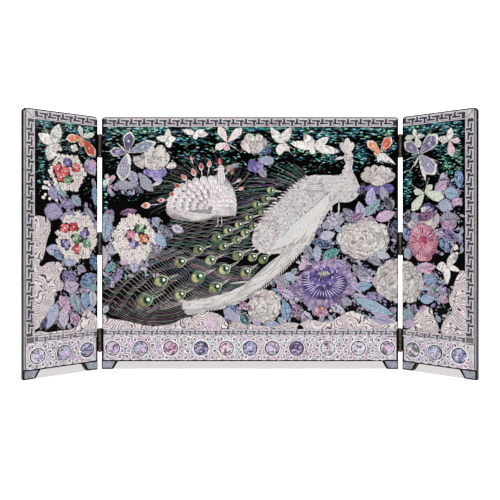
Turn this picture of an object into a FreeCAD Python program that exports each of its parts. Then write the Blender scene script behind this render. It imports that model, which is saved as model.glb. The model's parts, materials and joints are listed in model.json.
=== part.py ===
"""A tabletop folding screen of three lacquered boards with mother-of-pearl inlay.

A wide centre board carries two narrow wings on three butt hinges a side. The wings rest
turned forward, so the screen stands by itself. Lengths are in millimetres, +Z is up, +Y is
behind the screen, and the origin is on the table, in the middle of the standing footprint.
Everything is drawn with the screen opened flat, then each wing is turned about its pins.
"""

import FreeCAD, Part
import os
from math import atan2, ceil, cos, hypot, pi, sin

V = FreeCAD.Vector

# Driving dimensions: the boards
height = 330.0
centre_width = 389.0
wing_width = 97.6
board_thick = 8.0
corner_radius = 4.0
arris_radius = 1.1
wing_angle = 40.0

# The feet, cut from the lower edge of every board
foot_height = 10.0
foot_base = 15.0
foot_top = 21.0
foot_fillet = 3.0

# The butt hinges
hinge_length = 30.0
hinge_levels = {"bottom": 38.0, "middle": 164.0, "top": 292.0}
barrel_radius = 1.8
bore_radius = 0.85
pin_radius = 0.8
pin_head_radius = 1.2
pin_head_height = 0.7
knuckle_count = 5
knuckle_gap = 0.1
leaf_thick = 1.0
leaf_clear = 0.2
leaf_reach = 9.3
pin_forward = 2.0

# The countersunk wood screws
screw_radius = 0.9
screw_head_radius = 1.8
screw_length = 9.0
screw_point = 2.0
pilot_clear = 0.05
screw_spacing = 16.0
cross_length = 2.2
cross_width = 0.4
cross_depth = 0.5

# The inlay bands, as heights on the boards
edge_margin = 2.7
fret_height = 8.6
fret_stroke = 1.4
fret_pitch = 17.0
fret_hook_arm = 9.3
fret_hook_waist = 3.0
fret_hook_tip = 0.4
column_margin = 1.3
lower_fret_base = 43.6
lower_fret_height = 7.6
frieze_base = 11.6
frieze_top = 42.4
roundel_level = 27.0
roundel_radius = 10.2
roundel_seat = 0.6
scroll_rows = 4
scroll_pitch = 8.2
scroll_hole_radius = 1.7
facing_rim = 1.6
field_base = 52.2
field_top = 317.6
field_side = 1.4

# How far each kind of inlay stands proud of the lacquer
cloud_relief = 0.5
band_relief = 0.7
leaf_relief = 0.8
rock_relief = 0.9
butterfly_relief = 1.1
roundel_relief = 1.2
flower_relief = 1.3
bird_relief = 1.6

gap = 2 * barrel_radius
plate_start = barrel_radius + leaf_clear
pin_x = centre_width / 2 + barrel_radius
wing_edge = centre_width / 2 + gap
panel_origin = {"left": -wing_edge, "centre": 0.0, "right": wing_edge}
panel_span = {
    "left": (-wing_edge - wing_width, -wing_edge),
    "centre": (-centre_width / 2, centre_width / 2),
    "right": (wing_edge, wing_edge + wing_width),
}
side_sign = {"left": -1, "right": 1}
side_fret_width = edge_margin + 2 * column_margin + fret_height
smallest_chip = 3.0

nodes = {}
claimed = {"left": [], "centre": [], "right": []}


# ---------------------------------------------------------------- flat outlines

def closed_face(edges):
    """A face in the plane of the boards' fronts, from edges that close in order."""
    return Part.Face(Part.Wire(edges))


def rectangle(x0, z0, x1, z1):
    """An upright rectangle between two corners."""
    corners = [V(x0, 0, z0), V(x1, 0, z0), V(x1, 0, z1), V(x0, 0, z1), V(x0, 0, z0)]
    return Part.Face(Part.makePolygon(corners))


def disc(x, z, radius):
    """A round plate outline."""
    return closed_face([Part.makeCircle(radius, V(x, 0, z), V(0, -1, 0))])


def petal(root, tip, width):
    """A lens between two points: a petal, a leaf, a butterfly's wing or a feather."""
    start = V(root[0], 0, root[1])
    end = V(tip[0], 0, tip[1])
    along = end - start
    across = V(-along.z, 0, along.x).normalize() * (width / 2)
    middle = start + along * 0.5
    there = Part.Arc(start, middle + across, end).toShape()
    back = Part.Arc(end, middle - across, start).toShape()
    return closed_face([there, back])


def rosette(x, z, radius_x, radius_z, lobes):
    """A flower's outline: lobes of equal arcs round an oval."""
    ring = []
    for k in range(lobes + 1):
        turn = 2 * pi * k / lobes
        ring.append(V(x + radius_x * cos(turn), 0, z + radius_z * sin(turn)))
    swell = 1 + 1.1 / lobes
    edges = []
    for k in range(lobes):
        turn = 2 * pi * (k + 0.5) / lobes
        crown = V(x + radius_x * swell * cos(turn), 0, z + radius_z * swell * sin(turn))
        edges.append(Part.Arc(ring[k], crown, ring[(k + 1) % lobes]).toShape())
    return closed_face(edges)


def smooth_outline(points):
    """A closed smooth curve through a few points, in four stretches."""
    curve = Part.BSplineCurve()
    curve.interpolate([V(x, 0, z) for x, z in points], PeriodicFlag=True)
    first, last = curve.FirstParameter, curve.LastParameter
    stops = [first + (last - first) * k / 4 for k in range(5)]
    return closed_face([Part.Edge(curve, start, end) for start, end in zip(stops, stops[1:])])


# ---------------------------------------------------------------- placing

def moved(shape, dx, dz=0.0):
    """A copy moved along the board."""
    copy = shape.copy()
    copy.translate(V(dx, 0, dz))
    return copy


def turned_wing(shape, side):
    """A copy of a wing's shape, turned forward about that side's pins."""
    copy = shape.copy()
    axis_point = V(side_sign[side] * pin_x, -pin_forward, 0)
    copy.rotate(axis_point, V(0, 0, -side_sign[side]), wing_angle)
    return copy


def settle(shape, panel):
    """A shape of a panel where it stands at rest, before the footprint is centred."""
    if panel == "centre":
        return shape
    return turned_wing(shape, panel)


def near(face, others):
    """The faces whose boxes meet this face's box."""
    return [other for other in others if face.BoundBox.intersect(other.BoundBox)]


def claim(panel, faces):
    """The faces moved onto their panel, less what earlier inlays already cover."""
    low, high = panel_span[panel]
    window = rectangle(low + field_side, field_base, high - field_side, field_top)
    if panel == "left":
        window = rectangle(low + side_fret_width, field_base, high - field_side, field_top)
    if panel == "right":
        window = rectangle(low + field_side, field_base, high - side_fret_width, field_top)
    kept = []
    for face in faces:
        left_over = moved(face, panel_origin[panel]).common(window)
        neighbours = near(left_over, claimed[panel]) if left_over.Faces else []
        if neighbours:
            left_over = left_over.cut(neighbours)
        pieces = [piece for piece in left_over.Faces if piece.Area > smallest_chip]
        claimed[panel].extend(pieces)
        kept.extend(pieces)
    return kept


def raise_plates(faces, relief):
    """Flat plates of one thickness, standing on the boards' fronts."""
    return [face.extrude(V(0, -relief, 0)) for face in faces]


def add_inlay(name, panel, faces, relief):
    """A node of shell plates on a panel's picture field."""
    plates = raise_plates(claim(panel, faces), relief)
    nodes[name] = settle(Part.makeCompound(plates), panel)


# ---------------------------------------------------------------- boards

def foot_gap(low, high):
    """The space between a board's two feet, with rounded upper corners."""
    outline = Part.makePolygon([
        V(low + foot_base, -board_thick, -foot_height),
        V(low + foot_base, -board_thick, 0),
        V(low + foot_top, -board_thick, foot_height),
        V(high - foot_top, -board_thick, foot_height),
        V(high - foot_base, -board_thick, 0),
        V(high - foot_base, -board_thick, -foot_height),
        V(low + foot_base, -board_thick, -foot_height),
    ])
    block = Part.Face(outline).extrude(V(0, 3 * board_thick, 0))
    upper = [
        edge for edge in block.Edges
        if abs(edge.CenterOfMass.z - foot_height) < 0.01 and edge.Length < 4 * board_thick
    ]
    return block.makeFillet(foot_fillet, upper)


def board(low, high):
    """A lacquered board with rounded top corners, softened arrises and bracket feet."""
    block = Part.makeBox(high - low, board_thick, height, V(low, 0, 0))
    corners = [
        edge for edge in block.Edges
        if abs(edge.CenterOfMass.z - height) < 0.01 and edge.Length < 1.5 * board_thick
    ]
    block = block.makeFillet(corner_radius, corners)
    rims = [
        edge for edge in block.Edges
        if (abs(edge.CenterOfMass.y) < 0.01 or abs(edge.CenterOfMass.y - board_thick) < 0.01)
        and edge.CenterOfMass.z > 0.01
    ]
    block = block.makeFillet(arris_radius, rims)
    return block.cut(foot_gap(low, high))


def screw_levels(level):
    """The heights of a leaf's two screws."""
    return [level - screw_spacing / 2, level + screw_spacing / 2]


screw_depth_y = -pin_forward + (plate_start + leaf_reach) / 2


def pilot_holes(edge_x, inward):
    """The drilled holes in a board's edge. Inward is the way into the board along X."""
    holes = []
    for level in hinge_levels.values():
        for z in screw_levels(level):
            mouth = V(edge_x, screw_depth_y, z)
            holes.append(Part.makeCylinder(screw_radius + pilot_clear, screw_length, mouth,
                                           V(inward, 0, 0)))
    return holes


centre_low, centre_high = panel_span["centre"]
centre_blank = board(centre_low, centre_high)
centre_holes = pilot_holes(centre_low, 1) + pilot_holes(centre_high, -1)
nodes["centre_board"] = centre_blank.cut(centre_holes)
for side in ("left", "right"):
    low, high = panel_span[side]
    hinge_edge = high if side == "left" else low
    blank = board(low, high).cut(pilot_holes(hinge_edge, side_sign[side]))
    nodes[side + "_board"] = settle(blank, side)


# ---------------------------------------------------------------- hinges

def countersunk_screw(z, edge_x, inward):
    """A cross-head wood screw with its head flush in the leaf."""
    face_x = edge_x - inward * leaf_thick
    shank_length = screw_length - screw_point
    head = Part.makeCone(screw_head_radius, screw_radius, leaf_thick,
                         V(face_x, screw_depth_y, z), V(inward, 0, 0))
    shank = Part.makeCylinder(screw_radius, shank_length,
                              V(face_x, screw_depth_y, z), V(inward, 0, 0))
    point = Part.makeCone(screw_radius, 0.1, screw_point,
                          V(face_x + inward * shank_length, screw_depth_y, z),
                          V(inward, 0, 0))
    screw = head.fuse([shank, point])
    for wide, tall in ((cross_length, cross_width), (cross_width, cross_length)):
        slot = Part.makeBox(2 * cross_depth, wide, tall,
                            V(face_x - cross_depth, screw_depth_y - wide / 2, z - tall / 2))
        screw = screw.cut(slot)
    return screw


def leaf(level, towards_board, knuckles):
    """A hinge leaf about a pin at X 0. Towards_board is the way to its own board along X."""
    base = level - hinge_length / 2
    pitch = hinge_length / knuckle_count
    outer_x = towards_board * barrel_radius
    inner_x = towards_board * (barrel_radius - leaf_thick)
    plate_x = min(outer_x, inner_x)
    plate = Part.makeBox(leaf_thick, leaf_reach - plate_start, hinge_length,
                         V(plate_x, -pin_forward + plate_start, base))
    for k in knuckles:
        foot = base + k * pitch + knuckle_gap / 2
        tall = pitch - knuckle_gap
        tube = Part.makeCylinder(barrel_radius, tall, V(0, -pin_forward, foot))
        neck = Part.makeBox(leaf_thick, plate_start, tall, V(plate_x, -pin_forward, foot))
        plate = plate.fuse([tube, neck])
    bore = Part.makeCylinder(bore_radius, hinge_length + 2, V(0, -pin_forward, base - 1))
    plate = plate.cut(bore)
    for z in screw_levels(level):
        sink = Part.makeCone(screw_head_radius + pilot_clear, screw_radius + pilot_clear,
                             leaf_thick, V(inner_x, screw_depth_y, z),
                             V(towards_board, 0, 0))
        plate = plate.cut(sink)
    return plate.removeSplitter()


def hinge_pin(level):
    """A pin with a peened head at each end."""
    base = level - hinge_length / 2
    shank = Part.makeCylinder(pin_radius, hinge_length + 2 * knuckle_gap,
                              V(0, -pin_forward, base - knuckle_gap))
    foot = Part.makeCylinder(pin_head_radius, pin_head_height,
                             V(0, -pin_forward, base - knuckle_gap - pin_head_height))
    head = Part.makeCylinder(pin_head_radius, pin_head_height,
                             V(0, -pin_forward, base + hinge_length + knuckle_gap))
    pin = shank.fuse([foot, head]).removeSplitter()
    ends = [
        edge for edge in pin.Edges
        if abs(abs(edge.CenterOfMass.z - level)
               - (hinge_length / 2 + knuckle_gap + pin_head_height)) < 0.01
    ]
    return pin.makeFillet(0.45, ends)


centre_knuckles = range(0, knuckle_count, 2)
wing_knuckles = range(1, knuckle_count, 2)
for side, sign in side_sign.items():
    centre_screws = []
    wing_screws = []
    for name, level in hinge_levels.items():
        stem = side + "_" + name + "_hinge_"
        centre_leaf = moved(leaf(level, -sign, centre_knuckles), sign * pin_x)
        wing_leaf = moved(leaf(level, sign, wing_knuckles), sign * pin_x)
        nodes[stem + "centre_leaf"] = centre_leaf
        nodes[stem + "wing_leaf"] = settle(wing_leaf, side)
        nodes[stem + "pin"] = moved(hinge_pin(level), sign * pin_x)
        for z in screw_levels(level):
            centre_screws.append(countersunk_screw(z, sign * centre_width / 2, -sign))
            wing_screws.append(countersunk_screw(z, sign * wing_edge, sign))
    nodes[side + "_centre_leaf_screws"] = Part.makeCompound(centre_screws)
    nodes[side + "_wing_leaf_screws"] = settle(Part.makeCompound(wing_screws), side)


# ---------------------------------------------------------------- fret borders

def fret_hook(tall):
    """One double hook of the key fret, centred on the origin, as a flat outline."""
    half = fret_stroke / 2
    reach = tall / 2 - half
    tip = fret_hook_tip
    arm = fret_hook_arm
    waist = fret_hook_waist
    corners = [(arm, tip), (arm, reach), (-waist, reach), (-waist, 0.0),
               (waist, 0.0), (waist, -reach), (-arm, -reach), (-arm, -tip)]
    bars = []
    for (x0, z0), (x1, z1) in zip(corners, corners[1:]):
        bars.append(rectangle(min(x0, x1) - half, min(z0, z1) - half,
                              max(x0, x1) + half, max(z0, z1) + half))
    return bars[0].fuse(bars[1:]).removeSplitter()


def fret_row(low, high, level, tall):
    """A level row of hooks between two places, evenly spread, as solid plates."""
    count = round((high - low) / fret_pitch)
    pitch = (high - low) / count
    hook = fret_hook(tall).extrude(V(0, -band_relief, 0))
    reach = fret_hook_arm + fret_stroke / 2
    row = []
    for k in range(count):
        at = low + pitch * (k + 0.5)
        piece = moved(hook, at, level)
        if at - reach < low or at + reach > high:
            trim = Part.makeBox(high - low, 3.0, tall + 2, V(low, -2.0, level - tall / 2 - 1))
            piece = piece.common(trim)
        row.extend(piece.Solids)
    return row


def fret_column(low, high, x, tall):
    """A standing column of hooks, turned a quarter."""
    column = []
    for piece in fret_row(low, high, 0.0, tall):
        standing = piece.copy()
        standing.rotate(V(0, 0, 0), V(0, 1, 0), -90)
        column.append(moved(standing, x))
    return column


top_fret_level = height - edge_margin - fret_height / 2
lower_fret_level = lower_fret_base + lower_fret_height / 2
centre_fret = fret_row(centre_low + edge_margin, centre_high - edge_margin,
                       top_fret_level, fret_height)
centre_fret += fret_row(centre_low + edge_margin, centre_high - edge_margin,
                        lower_fret_level, lower_fret_height)
nodes["centre_fret_border"] = Part.makeCompound(centre_fret)

column_place = wing_width - edge_margin - column_margin - fret_height / 2
mitre_gap = 0.6
mitre_width = 1.0
for side, sign in side_sign.items():
    inner = sign * (wing_edge + field_side)
    outer = sign * (wing_edge + column_place - fret_height / 2 - 1.0)
    row_low, row_high = min(inner, outer), max(inner, outer)
    pieces = fret_row(row_low, row_high, top_fret_level, fret_height)
    pieces += fret_row(row_low, row_high, lower_fret_level, lower_fret_height)
    column_x = sign * (wing_edge + column_place)
    column_top = height - edge_margin - fret_height - 1.0
    pieces += fret_column(lower_fret_base + lower_fret_height, column_top, column_x,
                          fret_height)
    corner_base = column_top + mitre_gap
    corner = rectangle(column_x - fret_height / 2, corner_base,
                       column_x + fret_height / 2, height - edge_margin)
    slot = rectangle(column_x - fret_height, -mitre_width / 2,
                     column_x + fret_height, mitre_width / 2)
    slot.rotate(V(column_x, 0, 0), V(0, 1, 0), -45 * sign)
    slot = moved(slot, 0, corner_base + fret_height / 2)
    pieces += raise_plates(corner.cut(slot).Faces, band_relief)
    nodes[side + "_fret_border"] = settle(Part.makeCompound(pieces), side)


# ---------------------------------------------------------------- frieze and feet

def pierced_band(low, high, roundels):
    """The scrollwork between the roundels: a band with rows of small round openings."""
    band = rectangle(low, frieze_base, high, frieze_top)
    holes = [disc(x, roundel_level, roundel_radius + roundel_seat) for x in roundels]
    row_step = (frieze_top - frieze_base) / scroll_rows
    for row in range(scroll_rows):
        z = frieze_base + row_step * (row + 0.5)
        for k in range(int((high - low) / scroll_pitch)):
            x = low + scroll_pitch * (k + 0.4 + 0.4 * (row % 2))
            away = min([hypot(x - r, z - roundel_level) for r in roundels])
            if away > roundel_radius + 2 * scroll_hole_radius:
                holes.append(disc(x, z, scroll_hole_radius))
    return band.cut(holes).Faces


def foot_facings(low, high):
    """Shell facings on a board's two feet, inside their edges."""
    rim = facing_rim
    facings = []
    for edge, inward in ((low, 1), (high, -1)):
        corners = [(rim, rim), (foot_base - rim, rim), (foot_top - 2 * rim, foot_height),
                   (rim, foot_height), (rim, rim)]
        outline = [V(edge + inward * x, 0, z) for x, z in corners]
        facings.append(Part.Face(Part.makePolygon(outline)))
    return facings


roundel_places = {
    "left": [-80.0, -46.0, -15.0],
    "centre": [-180, -143, -104, -64, -31, 0, 29, 61, 102, 142, 180],
    "right": [15.0, 45.0, 76.0],
}
for panel, places in roundel_places.items():
    low, high = panel_span[panel]
    centres = [panel_origin[panel] + x for x in places]
    band_low = low + edge_margin
    band_high = high - edge_margin
    scrolls = pierced_band(band_low, band_high, centres)
    discs = [disc(x, roundel_level, roundel_radius) for x in centres]
    nodes[panel + "_frieze_scrollwork"] = settle(
        Part.makeCompound(raise_plates(scrolls, band_relief)), panel)
    nodes[panel + "_frieze_roundels"] = settle(
        Part.makeCompound(raise_plates(discs, roundel_relief)), panel)
    nodes[panel + "_foot_facings"] = settle(
        Part.makeCompound(raise_plates(foot_facings(low, high), band_relief)), panel)


# ---------------------------------------------------------------- the peacocks

peacock_body = smooth_outline([
    (127, 284), (122, 278), (125, 268), (120, 255), (100, 253), (78, 253), (58, 241),
    (40, 223), (22, 202), (6, 178), (10, 160), (28, 151), (50, 152), (72, 162), (86, 184),
    (101, 206), (113, 217), (132, 219), (144, 233), (139, 248), (134, 262), (135, 276),
])
peacock_train = smooth_outline([
    (52, 168), (30, 146), (6, 127), (-20, 112), (-42, 98), (-66, 91), (-92, 86), (-88, 77),
    (-70, 72), (-46, 78), (-18, 86), (8, 100), (32, 120), (58, 140), (70, 158),
])
beak = petal((124, 276), (111, 275), 4.5)
crest_feathers = [petal((126, 284), tip, 7.0) for tip in ((119, 296), (127, 302), (134, 296))]
legs = [
    rectangle(105.6, 199, 108.0, 215),
    rectangle(115.4, 199, 117.8, 220),
]
add_inlay("large_peacock", "centre",
          [peacock_body, peacock_train, beak] + crest_feathers + legs, bird_relief)

eye_places = [
    (-138, 89, 9.0), (-117, 115, 8.0), (-92, 140, 6.8), (-92, 97, 6.6), (-69, 120, 8.4),
    (-68, 156, 6.0), (-52, 142, 6.6), (-46, 106, 7.6), (-34, 130, 7.2), (-16, 148, 6.4),
    (3, 146, 5.6), (17, 143, 5.8), (-6, 126, 6.4), (-44, 172, 6.2), (-29, 181, 5.6),
    (-35, 160, 5.4), (-18, 168, 5.4), (-7, 178, 5.2), (-15, 189, 4.8), (4, 187, 4.6),
    (-2, 198, 4.8), (16, 205, 5.0), (9, 215, 5.0), (20, 223, 5.0), (27, 234, 4.8),
]
train_root = (75.0, 225.0)
eyes = []
for x, z, size in eye_places:
    pull = atan2(train_root[1] - z, train_root[0] - x)
    back = (x - 1.15 * size * cos(pull), z - 1.15 * size * sin(pull))
    front = (x + 1.25 * size * cos(pull), z + 1.25 * size * sin(pull))
    eyes.append(petal(back, front, 1.75 * size))
add_inlay("peacock_train_eyes", "centre", eyes, flower_relief)

small_peacock = smooth_outline([
    (-41, 264), (-45, 256), (-60, 253), (-76, 246), (-90, 232), (-103, 220), (-114, 211),
    (-106, 199), (-88, 192), (-66, 193), (-46, 198), (-24, 202), (-15, 214), (-16, 230),
    (-24, 246), (-34, 255), (-36, 264), (-38, 268),
])
small_legs = [petal((-42, 200), (-42, 188), 2.6), petal((-37, 200), (-37, 188), 2.6)]
add_inlay("small_peacock", "centre", [small_peacock] + small_legs, bird_relief)

fan_tips = [
    (-137, 214), (-117, 221), (-102, 229), (-95, 240), (-87, 251), (-73, 258), (-63, 266),
    (-53, 269), (-40, 273), (-27, 262),
]
fan_root = (-60.0, 222.0)
fan_eyes = []
for x, z in fan_tips:
    pull = atan2(fan_root[1] - z, fan_root[0] - x)
    fan_eyes.append(petal((x - 5 * cos(pull), z - 5 * sin(pull)),
                          (x + 6 * cos(pull), z + 6 * sin(pull)), 7.0))
add_inlay("small_peacock_fan_eyes", "centre", fan_eyes, flower_relief)


# ---------------------------------------------------------------- flowers

add_inlay("centre_hydrangea", "centre", [rosette(-154, 171, 26, 31, 16)], flower_relief)
centre_peonies = [
    rosette(149, 170, 33, 26, 13),
    rosette(19, 82, 20, 20, 11),
    rosette(196, 115, 32, 27, 13),
    rosette(97, 112, 37, 27, 13),
]
add_inlay("centre_peonies", "centre", centre_peonies, flower_relief)
lotus_cups = [
    rosette(-124, 277, 14, 14, 9),
    rosette(6, 294, 14, 14, 9),
    rosette(167, 253, 22, 14, 11),
]
lotus_bases = [
    petal((-147, 264), (-98, 262), 22), petal((-143, 250), (-116, 240), 12),
    petal((-6, 272), (20, 268), 17), petal((8, 284), (31, 276), 12),
    petal((148, 234), (190, 234), 20), petal((157, 236), (156, 214), 13),
]
add_inlay("centre_lotus_flowers", "centre", lotus_cups + lotus_bases, flower_relief)


def butterfly(root, tips):
    """Wings that spread from one point. A tip is a place and a wing's width."""
    return [petal(root, (x, z), width) for x, z, width in tips]


centre_butterflies = (
    butterfly((-162, 284), [(-157, 315, 15), (-124, 297, 14), (-168, 246, 18), (-190, 285, 12)])
    + butterfly((-108, 300), [(-123, 304, 7), (-96, 300, 8), (-107, 314, 8), (-105, 290, 8)])
    + butterfly((-72, 308), [(-89, 313, 7), (-56, 306, 8), (-71, 301, 6)])
    + butterfly((-28, 299), [(-41, 317, 11), (-10, 316, 11), (-46, 288, 10), (-31, 285, 8)])
    + butterfly((40, 296), [(27, 316, 11), (54, 314, 13), (38, 279, 10), (53, 285, 9)])
    + butterfly((84, 291), [(58, 303, 14), (104, 303, 11), (117, 284, 10), (79, 281, 7)])
    + butterfly((171, 282), [(153, 298, 11), (185, 305, 12), (178, 270, 9), (191, 268, 4)])
)
add_inlay("centre_butterflies", "centre", centre_butterflies, butterfly_relief)


# ---------------------------------------------------------------- leaves, rocks and clouds

centre_leaves = [
    petal((-188, 205), (-190, 168), 15), petal((-170, 204), (-146, 208), 8),
    petal((-192, 160), (-192, 130), 12), petal((-176, 140), (-188, 126), 9),
    petal((-168, 131), (-177, 112), 9), petal((-152, 141), (-151, 126), 10),
    petal((-172, 139), (-156, 141), 7), petal((-190, 122), (-184, 108), 8),
    petal((-186, 152), (-172, 160), 10), petal((-120, 189), (-100, 170), 11),
    petal((-103, 186), (-87, 180), 9), petal((-128, 176), (-108, 160), 13),
    petal((-127, 198), (-120, 184), 9), petal((-178, 241), (-148, 240), 12),
    petal((-156, 258), (-150, 242), 9), petal((-193, 240), (-176, 252), 9),
    petal((139, 192), (122, 212), 15), petal((146, 196), (142, 220), 13),
    petal((150, 200), (170, 222), 12), petal((163, 195), (191, 204), 14),
    petal((180, 186), (193, 172), 12), petal((93, 186), (126, 196), 14),
    petal((90, 172), (112, 178), 12), petal((80, 168), (110, 160), 11),
    petal((88, 162), (88, 139), 9), petal((94, 147), (119, 156), 12),
    petal((66, 150), (80, 136), 11), petal((134, 133), (158, 120), 13),
    petal((138, 108), (160, 110), 12), petal((134, 93), (191, 70), 13),
    petal((150, 96), (176, 92), 12), petal((158, 146), (172, 136), 12),
    petal((30, 120), (52, 106), 11), petal((44, 124), (62, 116), 11),
    petal((40, 104), (58, 92), 11), petal((46, 88), (50, 64), 12),
    petal((58, 88), (62, 64), 11), petal((-34, 78), (-14, 62), 11),
    petal((-16, 86), (2, 76), 10), petal((-12, 72), (-2, 58), 10),
    petal((80, 78), (104, 72), 10), petal((104, 84), (124, 74), 11),
    petal((64, 74), (84, 64), 11), petal((150, 86), (186, 60), 12),
]
add_inlay("centre_leaves", "centre", centre_leaves, leaf_relief)

centre_rocks = [
    smooth_outline([(-194, 50), (-194, 72), (-180, 66), (-160, 62), (-140, 57), (-112, 57),
                    (-92, 62), (-76, 69), (-60, 75), (-42, 71), (-33, 66), (-30, 50)]),
    smooth_outline([(66, 50), (70, 62), (96, 61), (116, 66), (135, 76), (152, 66),
                    (170, 68), (192, 62), (194, 50)]),
]
add_inlay("centre_rocks", "centre", centre_rocks, rock_relief)

cloud_rows = [(-190, 191, 313, 7), (-96, -46, 298, 6), (-14, 26, 312, 5), (60, 118, 306, 6)]
centre_clouds = []
for low_x, high_x, z, tall in cloud_rows:
    count = ceil((high_x - low_x) / 27.0)
    step = (high_x - low_x) / count
    for k in range(count):
        centre_clouds.append(petal((low_x + k * step, z), (low_x + (k + 1) * step, z + 1), tall))
add_inlay("centre_abalone_clouds", "centre", centre_clouds, cloud_relief)

wing_flowers = {
    "left": [rosette(-42, 254, 25, 25, 15), rosette(-29, 173, 27, 31, 16)],
    "right": [rosette(30, 167, 19, 24, 11), rosette(-3, 114, 33, 27, 13)],
}
wing_butterflies = {
    "left": (
        butterfly((-60, 290), [(-80, 301, 13), (-53, 314, 15), (-67, 268, 16), (-49, 282, 8)])
        + butterfly((-22, 301), [(-44, 297, 11), (-4, 275, 13), (-26, 315, 5), (-5, 306, 6)])
    ),
    "right": (
        butterfly((19, 303), [(5, 301, 7), (17, 312, 6), (25, 288, 9), (31, 302, 5)])
        + butterfly((24, 281), [(4, 297, 15), (49, 303, 19), (46, 251, 20), (34, 243, 6)])
        + butterfly((64, 293), [(48, 297, 9), (66, 308, 9), (79, 291, 7), (68, 272, 10)])
        + butterfly((31, 229), [(58, 222, 14), (14, 207, 13), (16, 233, 8), (37, 247, 6)])
        + butterfly((61, 137), [(75, 155, 11), (48, 134, 12), (61, 113, 9), (78, 131, 6)])
    ),
}
wing_leaves = {
    "left": [
        petal((-16, 272), (-4, 252), 12), petal((-56, 238), (-44, 224), 11),
        petal((-73, 206), (-48, 202), 20), petal((-52, 214), (-28, 216), 13),
        petal((-6, 240), (-4, 212), 8), petal((-20, 212), (-4, 192), 10),
        petal((-80, 226), (-60, 240), 16), petal((-64, 236), (-58, 218), 12),
        petal((-70, 158), (-47, 154), 14), petal((-47, 144), (-28, 142), 16),
        petal((-50, 128), (-30, 116), 16), petal((-46, 106), (-26, 112), 15),
        petal((-24, 112), (0, 122), 17), petal((-8, 152), (-3, 130), 10),
        petal((-53, 100), (-38, 76), 12), petal((-36, 102), (-26, 76), 13),
        petal((-18, 104), (-18, 80), 12), petal((-8, 104), (-6, 82), 10),
        petal((-56, 91), (-70, 58), 14), petal((-48, 84), (-46, 58), 13),
        petal((-36, 74), (-28, 60), 11),
    ],
    "right": [
        petal((44, 232), (64, 242), 12), petal((75, 257), (77, 232), 11),
        petal((56, 230), (76, 224), 15), petal((50, 216), (68, 208), 14),
        petal((66, 214), (80, 219), 9), petal((27, 212), (45, 209), 11),
        petal((50, 194), (76, 196), 16), petal((18, 196), (48, 201), 12),
        petal((2, 198), (14, 196), 12), petal((3, 186), (8, 168), 9),
        petal((50, 182), (74, 168), 13), petal((50, 170), (64, 156), 11),
        petal((18, 132), (48, 135), 13), petal((28, 122), (48, 118), 12),
        petal((44, 108), (58, 106), 11), petal((24, 92), (46, 96), 12),
        petal((50, 98), (62, 92), 10), petal((2, 80), (16, 66), 11),
    ],
}
wing_rocks = {
    "left": [
        smooth_outline([(-81, 198), (-72, 194), (-61, 186), (-60, 168), (-70, 154), (-56, 146),
                        (-50, 130), (-52, 112), (-60, 100), (-60, 88), (-76, 78), (-84, 66),
                        (-86, 130)]),
        smooth_outline([(-84, 54), (-62, 56), (-26, 60), (-22, 78), (-6, 76), (1, 60),
                        (0, 50), (-40, 50), (-80, 50)]),
    ],
    "right": [
        smooth_outline([(-2, 50), (4, 62), (24, 76), (44, 84), (60, 70), (70, 92), (66, 106),
                        (80, 130), (86, 110), (86, 50), (40, 50)]),
    ],
}
wing_clouds = {
    "left": [petal((-82, 314), (-58, 313), 7), petal((-46, 312), (-30, 308), 8),
             petal((-18, 314), (-6, 313), 6), petal((-78, 262), (-76, 244), 6)],
    "right": [petal((2, 313), (28, 312), 7), petal((34, 312), (60, 313), 8),
              petal((68, 306), (81, 303), 9), petal((52, 266), (80, 264), 17)],
}
wing_kinds = [
    ("flowers", wing_flowers, flower_relief),
    ("butterflies", wing_butterflies, butterfly_relief),
    ("leaves", wing_leaves, leaf_relief),
    ("rocks", wing_rocks, rock_relief),
    ("abalone_clouds", wing_clouds, cloud_relief),
]
for side in side_sign:
    for kind, drawings, relief in wing_kinds:
        add_inlay(side + "_" + kind, side, drawings[side], relief)


# ---------------------------------------------------------------- the origin, and the files

boards = [nodes[name] for name in ("left_board", "centre_board", "right_board")]
footprint = Part.makeCompound(boards).optimalBoundingBox(False)
shift = V(0, -(footprint.YMin + footprint.YMax) / 2, 0)

os.makedirs("parts", exist_ok=True)
for name, shape in nodes.items():
    shape.translate(shift)
    shape.exportStep("parts/" + name + ".step")

print("nodes", len(nodes), "solids", sum(len(shape.Solids) for shape in nodes.values()))
print("overall", [round(v, 2) for v in (footprint.XLength, footprint.YLength, footprint.ZLength)])
print("pins at x", pin_x, "y", round(-pin_forward + shift.y, 3))
for name, shape in nodes.items():
    bad = [solid for solid in shape.Solids if not solid.isValid() or not solid.isClosed()]
    if bad:
        print("check", name, len(bad), "of", len(shape.Solids))
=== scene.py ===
import json
import random
from math import atan2, cos, hypot, pi, radians, sin

import bmesh
import bpy
from mathutils import Matrix, Vector


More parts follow.
